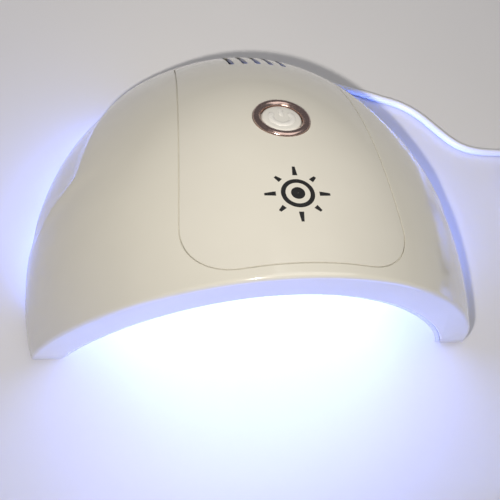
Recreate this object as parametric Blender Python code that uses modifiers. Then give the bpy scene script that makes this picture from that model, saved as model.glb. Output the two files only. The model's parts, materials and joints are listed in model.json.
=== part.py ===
"""A table-top lamp that cures light-sensitive gel: a glossy arched shell over a lit hand space.

Metres, +Z up. The lamp stands on z = 0, its open arch faces -Y and its length is centred on
y = 0. The shell, the liner and the strips all follow one family of domes: an elliptical plan
whose height falls off as a power of the distance to the edge, cut by a leaning front plane.
"""

import math
from collections import namedtuple

import bmesh
import bpy
from mathutils import Matrix, Vector

# ---- driving dimensions -------------------------------------------------------------------

OBJECT_NAME = "curing_lamp"
MM = 0.001
GAP = 0.3 * MM  # clearance between neighbouring pieces

# A dome's height over its plan is (height + front_rise * exp(-(y - crown_y) / fade))
# * (1 - rho^2)^power, where rho runs from 0 at the plan's centre to 1 at its edge.
Dome = namedtuple("Dome", "half_width reach height front_rise power rear_power")
CENTRE_Y = -35.65 * MM
CROWN_Y = -80.25 * MM
RISE_FADE = 25.5 * MM
SKIN = Dome(92.7 * MM, 117.2 * MM, 79.5 * MM, 13.0 * MM, 0.72, 0.13)
MOUTH = Dome(83.2 * MM, 97.0 * MM, 67.5 * MM, 14.7 * MM, 0.84, 0.0)
RINGS = 13
SEGMENTS = 40
BELOW = 12.0 * MM  # the domes are carried this far under the table before they are cut flat

FRONT_FOOT_Y = -70.45 * MM  # where the front face's plane meets the table
FRONT_LEAN = math.radians(6.9)
SHELL_WALL = 3.0 * MM
SHELL_BASE_Z = 1.0 * MM
EDGE_ROUND = 2.2 * MM

CREASE_DEPTH = 1.3 * MM
CREASE_FOOT_Z = 1.0 * MM
CREASE_CLIMB = 0.63 * MM  # per degree of plan angle
CREASE_ABOVE = 5.0 * MM
CREASE_BELOW = 9.0 * MM

SIDE_ARCH_Y = 5.5 * MM
SIDE_ARCH_HALF = 56.0 * MM
SIDE_ARCH_RISE = 6.0 * MM

PANEL_FRONT_Y = -75.5 * MM
PANEL_REAR_Y = 55.5 * MM
PANEL_FRONT_HALF = 37.4 * MM
PANEL_REAR_HALF = 31.0 * MM
PANEL_CORNER = 17.0 * MM
PANEL_THICK = 1.4 * MM
PANEL_LEDGE = 5.0 * MM
SEAM = 0.25 * MM  # the seam's half width
PRISM_Z = (20.0 * MM, 120.0 * MM)  # upright cutters through the top run between these heights

VENT_COUNT = 5
VENT_PITCH = 5.3 * MM
VENT_WIDTH = 2.2 * MM
VENT_LENGTH = 20.0 * MM
VENT_Y = 37.0 * MM

BUTTON_Y = -16.95 * MM
RING_RADIUS = 10.0 * MM

LINER_WALL = 1.6 * MM
LINER_SETBACK = 0.8 * MM
FLANGE_Z = (8.0 * MM, 9.6 * MM)
STRIP_HALF = 4.5 * MM
STRIP_THICK = 0.8 * MM
STRIP_CLEAR = 0.5 * MM
STRIP_ROWS = {"front": -54.0 * MM, "middle": -20.5 * MM, "rear": 13.5 * MM}
LED_STATIONS = (-0.72, -0.40, 0.0, 0.40, 0.72)  # along a strip, as shares of the liner's half width
LED_RADIUS = 2.5 * MM
SENSOR_Y = -66.5 * MM

FOOT_PLACES = {
    "front_left": (-81.4 * MM, -56.5 * MM, 2.9 * MM),
    "front_right": (81.4 * MM, -56.5 * MM, 2.9 * MM),
    "rear_left": (-51.6 * MM, 43.4 * MM, 4.2 * MM),
    "rear_right": (51.6 * MM, 43.4 * MM, 4.2 * MM),
}
FOOT_THICK = 1.3 * MM
SCREW_PLACES = {
    "front_left": (-81.2 * MM, -10.5 * MM),
    "front_right": (81.2 * MM, -10.5 * MM),
    "rear_left": (-32.3 * MM, 61.5 * MM),
    "rear_right": (32.3 * MM, 61.5 * MM),
}
SCREW_TOP_Z = 12.4 * MM
BOSS_RADIUS = 3.0 * MM
PILOT_RADIUS = 1.55 * MM

BOARD_HALF = (23.0 * MM, 15.0 * MM)
BOARD_TOP = -7.7 * MM  # below the skin, along the button's axis
BOARD_THICK = 1.6 * MM
STANDOFF_PLACES = {"left": (-19.0 * MM, 11.0 * MM), "right": (19.0 * MM, 11.0 * MM)}  # on the board
STANDOFF_RADIUS = 2.6 * MM
STANDOFF_FOOT = -18.0 * MM
STANDOFF_PILOT = 0.95 * MM
BOARD_HOLE = 1.3 * MM

JACK_Z = 6.8 * MM
JACK_HALF = 4.0 * MM
JACK_WIDTH_HALF = 6.0 * MM
JACK_FRONT_Y = 61.6 * MM
JACK_REAR_Y = 70.5 * MM
JACK_MOUTH_Y = 76.7 * MM
RECESS_Y = 76.8 * MM  # the flat that the jack looks out of
RECESS_HALF = 7.0 * MM
RECESS_TOP_Z = 12.4 * MM
PLUG_Y = (77.1 * MM, 85.5 * MM)

CORD_DIAMETER = 3.8 * MM
COIL_CENTRE = (164.0 * MM, 7.6 * MM)
COIL_MIDDLE = 21.0 * MM
COIL_WIDTH = 12.0 * MM
COIL_Z = (0.9 * MM, 16.1 * MM)
RELIEF_END_X = 25.3 * MM
RELIEF_ROOT = 3.0 * MM
RELIEF_TIP = 2.2 * MM
CORD_ROUTE = (  # centre points, in millimetres, from the plug's strain relief to the coil
    (25.9, 81.3, 6.8),
    (33.0, 81.4, 5.3),
    (41.0, 80.5, 3.2),
    (50.0, 78.3, 2.1),
    (59.0, 75.4, 1.95),
    (70.0, 71.4, 1.95),
    (80.0, 67.6, 1.95),
    (90.5, 63.4, 1.95),
    (98.0, 57.9, 1.95),
    (104.0, 50.9, 1.95),
    (108.5, 44.9, 1.95),
    (113.5, 39.2, 1.95),
    (119.0, 35.3, 1.95),
    (126.0, 33.2, 1.95),
    (134.0, 32.6, 1.95),
    (141.5, 32.6, 1.95),
    (148.5, 32.6, 1.95),
)
CORD_STEP = 5.0 * MM
ADAPTER_HALF = (21.0 * MM, 25.0 * MM, 13.5 * MM)
ADAPTER_CENTRE = (189.0 * MM, -53.4 * MM)
ADAPTER_CORD_Z = 13.8 * MM
ADAPTER_RELIEF = 20.0 * MM
ADAPTER_RELIEF_ROOT = 3.4 * MM
PRONG_SHIFT = 6.35 * MM
PRONG_HALF = (0.75 * MM, 3.15 * MM, 8.0 * MM)
PRONG_Y = -8.0 * MM  # from the adapter's centre

# ---- scene, collections and materials -----------------------------------------------------


def clear_scene():
    for obj in list(bpy.data.objects):
        bpy.data.objects.remove(obj, do_unlink=True)


clear_scene()
PARTS = bpy.data.collections.new(OBJECT_NAME)
CUTTERS = bpy.data.collections.new("cutters")
bpy.context.scene.collection.children.link(PARTS)
bpy.context.scene.collection.children.link(CUTTERS)


def make_material(name, colour, roughness, metallic=0.0):
    material = bpy.data.materials.new(name)
    material.use_nodes = True
    shader = material.node_tree.nodes["Principled BSDF"]
    shader.inputs["Base Color"].default_value = (*colour, 1.0)
    shader.inputs["Roughness"].default_value = roughness
    shader.inputs["Metallic"].default_value = metallic
    material.diffuse_color = (*colour, 1.0)
    return material


SHELL_WHITE = make_material("shell_white", (0.86, 0.85, 0.80), 0.12)
PANEL_WHITE = make_material("panel_white", (0.88, 0.87, 0.82), 0.10)
LINER_WHITE = make_material("liner_white", (0.90, 0.90, 0.92), 0.25)
ROSE_METAL = make_material("rose_metal", (0.46, 0.28, 0.22), 0.22, 1.0)
BUTTON_WHITE = make_material("button_white", (0.82, 0.80, 0.76), 0.35)
BOARD_GREEN = make_material("board_green", (0.04, 0.22, 0.10), 0.45)
BOARD_WHITE = make_material("board_white", (0.85, 0.85, 0.84), 0.40)
PART_BLACK = make_material("part_black", (0.03, 0.03, 0.03), 0.40)
CONNECTOR_WHITE = make_material("connector_white", (0.78, 0.76, 0.70), 0.45)
STEEL = make_material("steel", (0.60, 0.60, 0.60), 0.28, 1.0)
LED_VIOLET = make_material("led_violet", (0.66, 0.62, 0.95), 0.15)
RUBBER_GREY = make_material("rubber_grey", (0.25, 0.25, 0.26), 0.80)
LEAD_RED = make_material("lead_red", (0.60, 0.05, 0.05), 0.50)
CORD_WHITE = make_material("cord_white", (0.88, 0.88, 0.88), 0.35)


def add_part(name, mesh, material, smooth_angle=35.0):
    obj = bpy.data.objects.new(name, mesh)
    mesh.materials.clear()
    mesh.materials.append(material)
    mesh.shade_smooth()
    mesh.set_sharp_from_angle(angle=math.radians(smooth_angle))
    PARTS.objects.link(obj)
    return obj


def add_cutter(name, mesh):
    obj = bpy.data.objects.new(name, mesh)
    obj.hide_render = True
    obj.display_type = "WIRE"
    CUTTERS.objects.link(obj)
    return obj


def boolean(target, other, operation="DIFFERENCE"):
    modifier = target.modifiers.new(other.name, "BOOLEAN")
    modifier.object = other
    modifier.operation = operation
    modifier.solver = "EXACT"


def to_mesh(name, bm):
    bmesh.ops.recalc_face_normals(bm, faces=bm.faces)
    mesh = bpy.data.meshes.new(name)
    bm.to_mesh(mesh)
    bm.free()
    return mesh


# ---- the domes ----------------------------------------------------------------------------


def rise(dome, y):
    """The height over the plan's centre line that the dome would have with no fall to its edge."""
    return dome.height + dome.front_rise * math.exp(-(y - CROWN_Y) / RISE_FADE)


def dome_z(dome, x, y):
    across = x / dome.half_width
    along = (y - CENTRE_Y) / dome.reach
    left = max(0.0, 1.0 - across * across - along * along)
    power = dome.power + dome.rear_power * max(0.0, along)
    return rise(dome, y) * left**power


def dome_normal(dome, x, y):
    """The outward normal, finite also at the edge, where the wall stands upright."""
    across = x / dome.half_width
    along = (y - CENTRE_Y) / dome.reach
    left = max(0.0, 1.0 - across * across - along * along)
    power = dome.power + dome.rear_power * max(0.0, along)
    height = rise(dome, y)
    steepness = 2.0 * power * height
    lean = dome.front_rise / RISE_FADE * math.exp(-(y - CROWN_Y) / RISE_FADE) * left
    return Vector(
        (
            steepness * across / dome.half_width,
            steepness * along / dome.reach + lean,
            left ** (1.0 - power),
        )
    ).normalized()


def smooth_step(low, high, value):
    share = min(1.0, max(0.0, (value - low) / (high - low)))
    return share * share * (3.0 - 2.0 * share)


def crease_inset(angle, z):
    """How far the soft crease above the rear skirt pulls the skin in, at a plan angle in radians."""
    turn = math.degrees(math.atan2(math.sin(angle), abs(math.cos(angle))))
    if turn <= 0.0:
        return 0.0
    depth = CREASE_DEPTH * smooth_step(8.0, 34.0, turn) * (1.0 - smooth_step(55.0, 82.0, turn))
    away = z - (CREASE_FOOT_Z + CREASE_CLIMB * turn)
    width = CREASE_ABOVE if away > 0.0 else CREASE_BELOW
    return depth * math.exp(-((away / width) ** 2))


def dome_point(dome, share, angle, inset):
    """A point inside the dome by inset, share of the way from the top of the plan to its edge."""
    rho = math.sin(share * math.pi / 2.0)
    x = dome.half_width * rho * math.cos(angle)
    y = CENTRE_Y + dome.reach * rho * math.sin(angle)
    z = dome_z(dome, x, y)
    point = Vector((x, y, z)) - dome_normal(dome, x, y) * inset
    if dome is SKIN:
        outward = Vector((x, y - CENTRE_Y, 0.0))
        if outward.length > 0.0:
            point -= outward.normalized() * crease_inset(angle, z)
    return point


def fill_cut(bm):
    edges = [edge for edge in bm.edges if edge.is_boundary]
    bmesh.ops.holes_fill(bm, edges=edges, sides=0)


def keep_side(bm, point, outward):
    """Cuts the closed mesh by a plane, drops what is on the outward side and closes the cut."""
    geometry = bm.verts[:] + bm.edges[:] + bm.faces[:]
    bmesh.ops.bisect_plane(
        bm, geom=geometry, dist=1e-7, plane_co=point, plane_no=outward, clear_outer=True
    )
    bmesh.ops.remove_doubles(bm, verts=bm.verts, dist=0.15 * MM)
    fill_cut(bm)


def dome_volume(name, dome, inset, setback, low, high=None, edge_round=0.0):
    """The closed volume under a dome, behind the leaning front plane and above z = low."""
    bm = bmesh.new()
    angles = [2.0 * math.pi * step / SEGMENTS for step in range(SEGMENTS)]
    top = bm.verts.new(dome_point(dome, 0.0, 0.0, inset))
    rings = []
    for ring in range(1, RINGS + 1):
        rings.append([bm.verts.new(dome_point(dome, ring / RINGS, a, inset)) for a in angles])
    rings.append([bm.verts.new((v.co.x, v.co.y, -BELOW)) for v in rings[-1]])
    for step in range(SEGMENTS):
        after = (step + 1) % SEGMENTS
        bm.faces.new((top, rings[0][step], rings[0][after]))
        for inner, outer in zip(rings, rings[1:]):
            bm.faces.new((inner[step], outer[step], outer[after], inner[after]))
    bm.faces.new(rings[-1])
    front = Vector((0.0, -math.cos(FRONT_LEAN), -math.sin(FRONT_LEAN)))
    keep_side(bm, Vector((0.0, FRONT_FOOT_Y, 0.0)) - front * setback, front)
    keep_side(bm, Vector((0.0, 0.0, low)), Vector((0.0, 0.0, -1.0)))
    if high is not None:
        keep_side(bm, Vector((0.0, 0.0, high)), Vector((0.0, 0.0, 1.0)))
    bmesh.ops.recalc_face_normals(bm, faces=bm.faces)
    if edge_round:
        sharp = [e for e in bm.edges if e.calc_face_angle(0.0) > math.radians(32.0)]
        bmesh.ops.bevel(
            bm, geom=sharp, offset=edge_round, segments=3, profile=0.5, affect="EDGES",
            clamp_overlap=True,
        )
    return to_mesh(name, bm)


def lined_up(dome, x, y, inset=0.0):
    """A frame on the dome at (x, y): its Z is the outward normal and its X stays level."""
    normal = dome_normal(dome, x, y)
    across = Vector((0.0, 1.0, 0.0)).cross(normal).normalized()
    along = normal.cross(across)
    turn = Matrix((across, along, normal)).transposed().to_4x4()
    place = Vector((x, y, dome_z(dome, x, y))) - normal * inset
    return Matrix.Translation(place) @ turn


# ---- small builders -----------------------------------------------------------------------


def box_mesh(name, centre, half, round_edge=0.0, segments=2):
    bm = bmesh.new()
    bmesh.ops.create_cube(bm, size=2.0)
    bmesh.ops.scale(bm, vec=half, verts=bm.verts)
    if round_edge:
        bmesh.ops.bevel(
            bm, geom=bm.edges[:], offset=round_edge, segments=segments, profile=0.5,
            affect="EDGES", clamp_overlap=True,
        )
    bmesh.ops.translate(bm, vec=centre, verts=bm.verts)
    return to_mesh(name, bm)


def cylinder_mesh(name, radius, low, high, sides=24, end_radius=None):
    """A cylinder or cone along its own Z, from low to high."""
    bm = bmesh.new()
    bmesh.ops.create_cone(
        bm, cap_ends=True, segments=sides, radius1=radius,
        radius2=radius if end_radius is None else end_radius, depth=high - low,
    )
    bmesh.ops.translate(bm, vec=(0.0, 0.0, (low + high) / 2.0), verts=bm.verts)
    return to_mesh(name, bm)


def turned(name, profile, material, steps=28, closed=False):
    """A solid turned about its own Z from (radius, height) points in millimetres, top first."""
    bm = bmesh.new()
    points = [bm.verts.new((radius * MM, 0.0, height * MM)) for radius, height in profile]
    for first, second in zip(points, points[1:]):
        bm.edges.new((first, second))
    if closed:
        bm.edges.new((points[-1], points[0]))
    mesh = bpy.data.meshes.new(name)
    bm.to_mesh(mesh)
    bm.free()
    obj = add_part(name, mesh, material)
    screw = obj.modifiers.new("turn", "SCREW")
    screw.steps = steps
    screw.render_steps = steps
    screw.use_merge_vertices = True
    screw.merge_threshold = 0.00001
    return obj


def rounded_outline(corners, radius, steps=6):
    """The outline through the corners, anticlockwise, with each corner turned on an arc."""
    outline = []
    count = len(corners)
    for index in range(count):
        here = Vector(corners[index])
        before = (Vector(corners[index - 1]) - here).normalized()
        after = (Vector(corners[(index + 1) % count]) - here).normalized()
        half = before.angle(after) / 2.0
        middle = here + (before + after).normalized() * (radius / math.sin(half))
        start = here + before * (radius / math.tan(half)) - middle
        end = here + after * (radius / math.tan(half)) - middle
        sweep = start.angle_signed(end)
        for step in range(steps + 1):
            turn = Matrix.Rotation(-sweep * step / steps, 2)
            outline.append(middle + turn @ start)
    return outline


def plate_mesh(name, outline, low, high):
    """A flat plate of this outline between two heights, from a filled 2D curve."""
    curve = bpy.data.curves.new(name + "_outline", "CURVE")
    curve.dimensions = "2D"
    curve.fill_mode = "BOTH"
    curve.extrude = (high - low) / 2.0
    spline = curve.splines.new("POLY")
    spline.points.add(len(outline) - 1)
    for point, place in zip(spline.points, outline):
        point.co = (place[0], place[1], 0.0, 1.0)
    spline.use_cyclic_u = True
    guide = bpy.data.objects.new(name + "_outline", curve)
    CUTTERS.objects.link(guide)
    graph = bpy.context.evaluated_depsgraph_get()
    mesh = bpy.data.meshes.new_from_object(guide.evaluated_get(graph))
    bpy.data.objects.remove(guide, do_unlink=True)
    bm = bmesh.new()
    bm.from_mesh(mesh)
    bmesh.ops.remove_doubles(bm, verts=bm.verts, dist=0.00001)
    bmesh.ops.translate(bm, vec=(0.0, 0.0, (low + high) / 2.0), verts=bm.verts)
    return to_mesh(name, bm)


def tube(name, points, radius, material, bevel_resolution=2):
    """A round tube with closed ends through the points, each joined to the next by a straight run."""
    curve = bpy.data.curves.new(name, "CURVE")
    curve.dimensions = "3D"
    curve.bevel_depth = radius
    curve.bevel_resolution = bevel_resolution
    curve.use_fill_caps = True
    spline = curve.splines.new("POLY")
    spline.points.add(len(points) - 1)
    for point, place in zip(spline.points, points):
        point.co = (*place, 1.0)
    obj = bpy.data.objects.new(name, curve)
    curve.materials.append(material)
    PARTS.objects.link(obj)
    return obj


def smooth_route(points, step):
    """Evenly spaced points on the smooth curve (Catmull-Rom) through the route's own points."""
    padded = [points[0] * 2.0 - points[1], *points, points[-1] * 2.0 - points[-2]]
    dense = []
    for p0, p1, p2, p3 in zip(padded, padded[1:], padded[2:], padded[3:]):
        for part in range(20):
            t = part / 20.0
            dense.append(
                0.5 * (2.0 * p1 + (p2 - p0) * t + (2.0 * p0 - 5.0 * p1 + 4.0 * p2 - p3) * t**2
                       + (3.0 * p1 - p0 - 3.0 * p2 + p3) * t**3)
            )
    dense.append(points[-1])
    length = sum((b - a).length for a, b in zip(dense, dense[1:]))
    count = round(length / step)
    spaced = [dense[0]]
    walked = 0.0
    for first, second in zip(dense, dense[1:]):
        stretch = (second - first).length
        while len(spaced) < count and walked + stretch >= len(spaced) * length / count:
            share = (len(spaced) * length / count - walked) / stretch
            spaced.append(first.lerp(second, share))
        walked += stretch
    spaced.append(dense[-1])
    return spaced


# ---- shell and top panel ------------------------------------------------------------------


def panel_outline(grow):
    """The top panel's outline in plan, moved outwards by grow."""
    front = PANEL_FRONT_Y - grow
    rear = PANEL_REAR_Y + grow
    corners = (
        (-PANEL_FRONT_HALF - grow, front),
        (PANEL_FRONT_HALF + grow, front),
        (PANEL_REAR_HALF + grow, rear),
        (-PANEL_REAR_HALF - grow, rear),
    )
    return rounded_outline(corners, PANEL_CORNER + grow)


def side_arch_cutter():
    """A wide drum across the lamp, whose crown lifts the bottom edge of both sides."""
    radius = (SIDE_ARCH_HALF**2 + SIDE_ARCH_RISE**2) / (2.0 * SIDE_ARCH_RISE)
    mesh = cylinder_mesh("side_arch", radius, -110.0 * MM, 110.0 * MM, sides=160)
    cutter = add_cutter("side_arch", mesh)
    cutter.rotation_euler = (0.0, math.pi / 2.0, 0.0)
    cutter.location = (0.0, SIDE_ARCH_Y, SHELL_BASE_Z + SIDE_ARCH_RISE - radius)
    return cutter


def jack_hole_cutter(name, radius, front, rear):
    cutter = add_cutter(name, cylinder_mesh(name, radius, front, rear))
    cutter.rotation_euler = (-math.pi / 2.0, 0.0, 0.0)
    cutter.location = (0.0, 0.0, JACK_Z)
    return cutter


def cavity_cutter():
    """The shell's hollow, less the bosses for the liner's screws and the block around the jack."""
    cavity = add_cutter(
        "cavity", dome_volume("cavity", SKIN, SHELL_WALL, SHELL_WALL, -BELOW / 2.0)
    )
    for place, (x, y) in SCREW_PLACES.items():
        name = "boss_" + place
        boss = add_cutter(name, cylinder_mesh(name, BOSS_RADIUS, FLANGE_Z[1] + GAP, 60.0 * MM))
        boss.location = (x, y, 0.0)
        boolean(cavity, boss)
    depth = 12.0 * MM
    block = box_mesh(
        "jack_block", (0.0, JACK_REAR_Y + GAP + depth, 0.0),
        (RECESS_HALF + 2.0 * MM, depth, RECESS_TOP_Z + 2.0 * MM),
    )
    boolean(cavity, add_cutter("jack_block", block))
    return cavity


def make_outer_shell(side_arch):
    volume = dome_volume("outer_shell", SKIN, 0.0, 0.0, SHELL_BASE_Z, edge_round=EDGE_ROUND)
    shell = add_part("outer_shell", volume, SHELL_WHITE)
    boolean(shell, cavity_cutter())
    mouth = add_cutter("mouth", dome_volume("mouth", MOUTH, 0.0, -20.0 * MM, -BELOW / 2.0))
    boolean(shell, mouth)
    recess = add_cutter("recess", plate_mesh("recess", panel_outline(SEAM), *PRISM_Z))
    floor = add_cutter(
        "recess_floor", dome_volume("recess_floor", SKIN, PANEL_THICK + GAP, -20.0 * MM, 0.0)
    )
    boolean(recess, floor)
    boolean(shell, recess)
    window = plate_mesh("window", panel_outline(-PANEL_LEDGE), *PRISM_Z)
    boolean(shell, add_cutter("window", window))
    boolean(shell, side_arch)
    boolean(shell, jack_hole_cutter("jack_hole", 4.6 * MM, 69.0 * MM, 95.0 * MM))
    depth = 10.0 * MM
    flat = box_mesh(
        "jack_recess", (0.0, RECESS_Y + depth, 0.0), (RECESS_HALF, depth, RECESS_TOP_Z), 1.0 * MM
    )
    boolean(shell, add_cutter("jack_recess", flat))
    for place, (x, y) in SCREW_PLACES.items():
        name = "pilot_" + place
        bore = cylinder_mesh(name, PILOT_RADIUS, 5.0 * MM, SCREW_TOP_Z + GAP, sides=16)
        pilot = add_cutter(name, bore)
        pilot.location = (x, y, 0.0)
        boolean(shell, pilot)
    return shell


def make_top_panel(button_frame):
    panel = add_part(
        "top_panel", plate_mesh("top_panel", panel_outline(-SEAM), *PRISM_Z), PANEL_WHITE
    )
    boolean(panel, add_cutter("skin", dome_volume("skin", SKIN, 0.0, 0.0, 0.0)), "INTERSECT")
    under = dome_volume("panel_under", SKIN, PANEL_THICK, -20.0 * MM, -BELOW / 2.0)
    boolean(panel, add_cutter("panel_under", under))
    steps = (
        ("button_boss", 12.5 * MM, -4.0 * MM, -1.1 * MM, "UNION"),
        ("ring_seat", RING_RADIUS + GAP, -2.4 * MM, 6.0 * MM, "DIFFERENCE"),
        ("button_bore", 8.9 * MM, -9.0 * MM, 6.0 * MM, "DIFFERENCE"),
    )
    for name, radius, low, high, operation in steps:
        cutter = add_cutter(name, cylinder_mesh(name, radius, low, high, sides=32))
        cutter.matrix_world = button_frame
        boolean(panel, cutter, operation)
    radius = VENT_WIDTH / 2.0
    half = VENT_LENGTH / 2.0
    for slot in range(VENT_COUNT):
        x = (slot - (VENT_COUNT - 1) / 2.0) * VENT_PITCH
        corners = (
            (x - radius, VENT_Y - half),
            (x + radius, VENT_Y - half),
            (x + radius, VENT_Y + half),
            (x - radius, VENT_Y + half),
        )
        outline = rounded_outline(corners, radius * 0.98, steps=3)
        name = f"vent_{slot + 1}"
        boolean(panel, add_cutter(name, plate_mesh(name, outline, *PRISM_Z)))
    return panel


# ---- button -------------------------------------------------------------------------------


def make_button(button_frame):
    ring = turned(
        "button_ring",
        ((8.3, 0.55), (9.5, 0.45), (10.0, 0.0), (10.0, -2.1), (7.35, -2.1), (7.35, -0.3)),
        ROSE_METAL, steps=40, closed=True,
    )
    button = turned(
        "power_button",
        ((0.0, 0.1), (3.5, 0.05), (5.8, -0.1), (6.7, -0.35), (7.0, -0.8), (7.0, -2.4),
         (8.4, -2.4), (8.4, -3.2), (2.0, -3.2), (2.0, -4.0), (0.0, -4.0)),
        BUTTON_WHITE, steps=40,
    )
    plunger = turned(
        "switch_plunger",
        ((0.0, -4.3), (1.3, -4.3), (1.6, -4.6), (1.6, -6.0), (0.0, -6.0)),
        PART_BLACK, steps=16,
    )
    for obj in (ring, button, plunger):
        obj.matrix_world = button_frame


# ---- liner, strips, lights ----------------------------------------------------------------


def strip_half_width(y):
    along = (y - CENTRE_Y) / MOUTH.reach
    return MOUTH.half_width * math.sqrt(1.0 - along * along)


def light_frames():
    """Each light's name and frame: Z points out of the hand space, from the liner's outer face."""
    frames = {}
    number = 0
    for y in STRIP_ROWS.values():
        for station in LED_STATIONS:
            number += 1
            x = station * strip_half_width(y)
            frames[f"led_{number:02d}"] = lined_up(MOUTH, x, y, GAP)
    return frames


def make_liner(side_arch, button_frame):
    outer = dome_volume("inner_liner", MOUTH, GAP, LINER_SETBACK, SHELL_BASE_Z + 0.6 * MM)
    liner = add_part("inner_liner", outer, LINER_WHITE)
    flange_front = SHELL_WALL + 0.5 * MM
    flange = dome_volume("flange", SKIN, flange_front, flange_front, FLANGE_Z[0], FLANGE_Z[1])
    boolean(liner, add_cutter("flange", flange), "UNION")
    for place, (x, y, radius) in FOOT_PLACES.items():
        name = "post_" + place
        post = cylinder_mesh(name, radius, FOOT_THICK + GAP, FLANGE_Z[0] + 1.0 * MM)
        post = add_cutter(name, post)
        post.location = (x, y, 0.0)
        boolean(liner, post, "UNION")
    standoff_top = BOARD_TOP - BOARD_THICK - GAP
    for side, (x, y) in STANDOFF_PLACES.items():
        name = "standoff_" + side
        post = cylinder_mesh(name, STANDOFF_RADIUS, STANDOFF_FOOT, standoff_top)
        standoff = add_cutter(name, post)
        standoff.matrix_world = button_frame @ Matrix.Translation((x, y, 0.0))
        boolean(liner, standoff, "UNION")
    hollow = dome_volume("hollow", MOUTH, GAP + LINER_WALL, -20.0 * MM, -BELOW / 2.0)
    boolean(liner, add_cutter("hollow", hollow))
    boolean(liner, side_arch)
    notch = box_mesh(
        "jack_notch", (0.0, 70.5 * MM, 9.0 * MM), (RECESS_HALF + 2.6 * MM, 11.5 * MM, 3.0 * MM)
    )
    boolean(liner, add_cutter("jack_notch", notch))
    for place, (x, y) in SCREW_PLACES.items():
        name = "screw_hole_" + place
        hole = add_cutter(name, cylinder_mesh(name, PILOT_RADIUS, 5.0 * MM, 12.0 * MM, sides=16))
        hole.location = (x, y, 0.0)
        boolean(liner, hole)
    for side, (x, y) in STANDOFF_PLACES.items():
        name = "board_pilot_" + side
        hole = add_cutter(name, cylinder_mesh(name, STANDOFF_PILOT, -13.0 * MM, 0.0, sides=12))
        hole.matrix_world = button_frame @ Matrix.Translation((x, y, 0.0))
        boolean(liner, hole)
    lights = light_frames()
    lights["sensor"] = lined_up(MOUTH, 0.0, SENSOR_Y, GAP)
    for light, frame in lights.items():
        name = "hole_" + light
        bore = cylinder_mesh(name, LED_RADIUS + 0.4 * MM, -6.0 * MM, 6.0 * MM, sides=16)
        hole = add_cutter(name, bore)
        hole.matrix_world = frame
        boolean(liner, hole)
    return liner


def make_strip(row, y):
    """A flexible circuit strip bent over the liner, wide enough for one row of lights."""
    bm = bmesh.new()
    reach = 0.82 * strip_half_width(y)
    steps = 28
    columns = []
    for step in range(steps + 1):
        x = reach * math.sin((step / steps - 0.5) * math.pi)
        column = []
        for edge in (y - STRIP_HALF, y + STRIP_HALF):
            frame = lined_up(MOUTH, x, edge, GAP - STRIP_CLEAR)
            column.append(bm.verts.new(frame.translation))
        columns.append(column)
    for first, second in zip(columns, columns[1:]):
        bm.faces.new((first[0], second[0], second[1], first[1]))
    mesh = bpy.data.meshes.new("led_strip_" + row)
    bm.to_mesh(mesh)
    bm.free()
    strip = add_part("led_strip_" + row, mesh, BOARD_WHITE)
    solidify = strip.modifiers.new("thickness", "SOLIDIFY")
    solidify.thickness = STRIP_THICK
    solidify.offset = 1.0


def make_lights():
    lens = ((0.0, 0.15), (2.5, 0.15), (2.5, -1.7), (1.8, -3.0), (0.0, -3.5))
    for name, frame in light_frames().items():
        light = turned(name, lens, LED_VIOLET, steps=12)
        light.matrix_world = frame
    eye = ((0.0, 4.0), (2.2, 4.0), (2.2, -1.4), (1.8, -1.9), (0.0, -2.2))
    sensor = turned("hand_sensor", eye, PART_BLACK, steps=14)
    sensor.matrix_world = lined_up(MOUTH, 0.0, SENSOR_Y, GAP)


# ---- circuit ------------------------------------------------------------------------------


def make_control_board(button_frame):
    board = add_part(
        "control_board",
        box_mesh("control_board", (0.0, 0.0, BOARD_TOP - BOARD_THICK / 2.0),
                 (*BOARD_HALF, BOARD_THICK / 2.0)),
        BOARD_GREEN,
    )
    board.matrix_world = button_frame
    low = BOARD_TOP + GAP
    blocks = (
        ("tact_switch", (0.0, 0.0, -6.15), (3.0, 3.0, 1.25), 0.3, PART_BLACK),
        ("control_chip", (-11.0, 0.0, low / MM + 0.8), (2.5, 4.0, 0.8), 0.2, PART_BLACK),
        ("jack_connector", (8.0, 11.0, low / MM + 1.4), (4.0, 2.8, 1.4), 0.3, CONNECTOR_WHITE),
        ("strip_connector", (0.0, -11.4, low / MM + 1.7), (6.0, 2.8, 1.7), 0.3, CONNECTOR_WHITE),
    )
    pieces = {}
    for name, centre, half, edge, material in blocks:
        mesh = box_mesh(name, Vector(centre) * MM, Vector(half) * MM, edge * MM, 1)
        pieces[name] = add_part(name, mesh, material)
        pieces[name].matrix_world = button_frame
    well = cylinder_mesh("switch_well", 1.95 * MM, -6.9 * MM, -3.0 * MM, sides=16)
    well = add_cutter("switch_well", well)
    well.matrix_world = button_frame
    boolean(pieces["tact_switch"], well)
    radius = 1.5 * MM
    can = cylinder_mesh("smoothing_capacitor", radius, -4.0 * MM, 4.0 * MM, sides=20)
    can = add_part("smoothing_capacitor", can, STEEL)
    place = Matrix.Translation((15.0 * MM, -3.0 * MM, low + radius))
    can.matrix_world = button_frame @ place @ Matrix.Rotation(math.pi / 2.0, 4, "X")
    fasten_board(board, button_frame)


def fasten_board(board, button_frame):
    profile = (
        (0.0, -6.6), (1.3, -6.6), (1.8, -7.0), (1.8, -7.4), (0.65, -7.4), (0.65, -12.4), (0.0, -12.4)
    )
    for side, (x, y) in STANDOFF_PLACES.items():
        place = button_frame @ Matrix.Translation((x, y, 0.0))
        name = "drill_" + side
        drill = add_cutter(name, cylinder_mesh(name, BOARD_HOLE, -14.0 * MM, 0.0, sides=12))
        drill.matrix_world = place
        boolean(board, drill)
        screw = turned("board_screw_" + side, profile, STEEL, steps=12)
        screw.matrix_world = place


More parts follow.
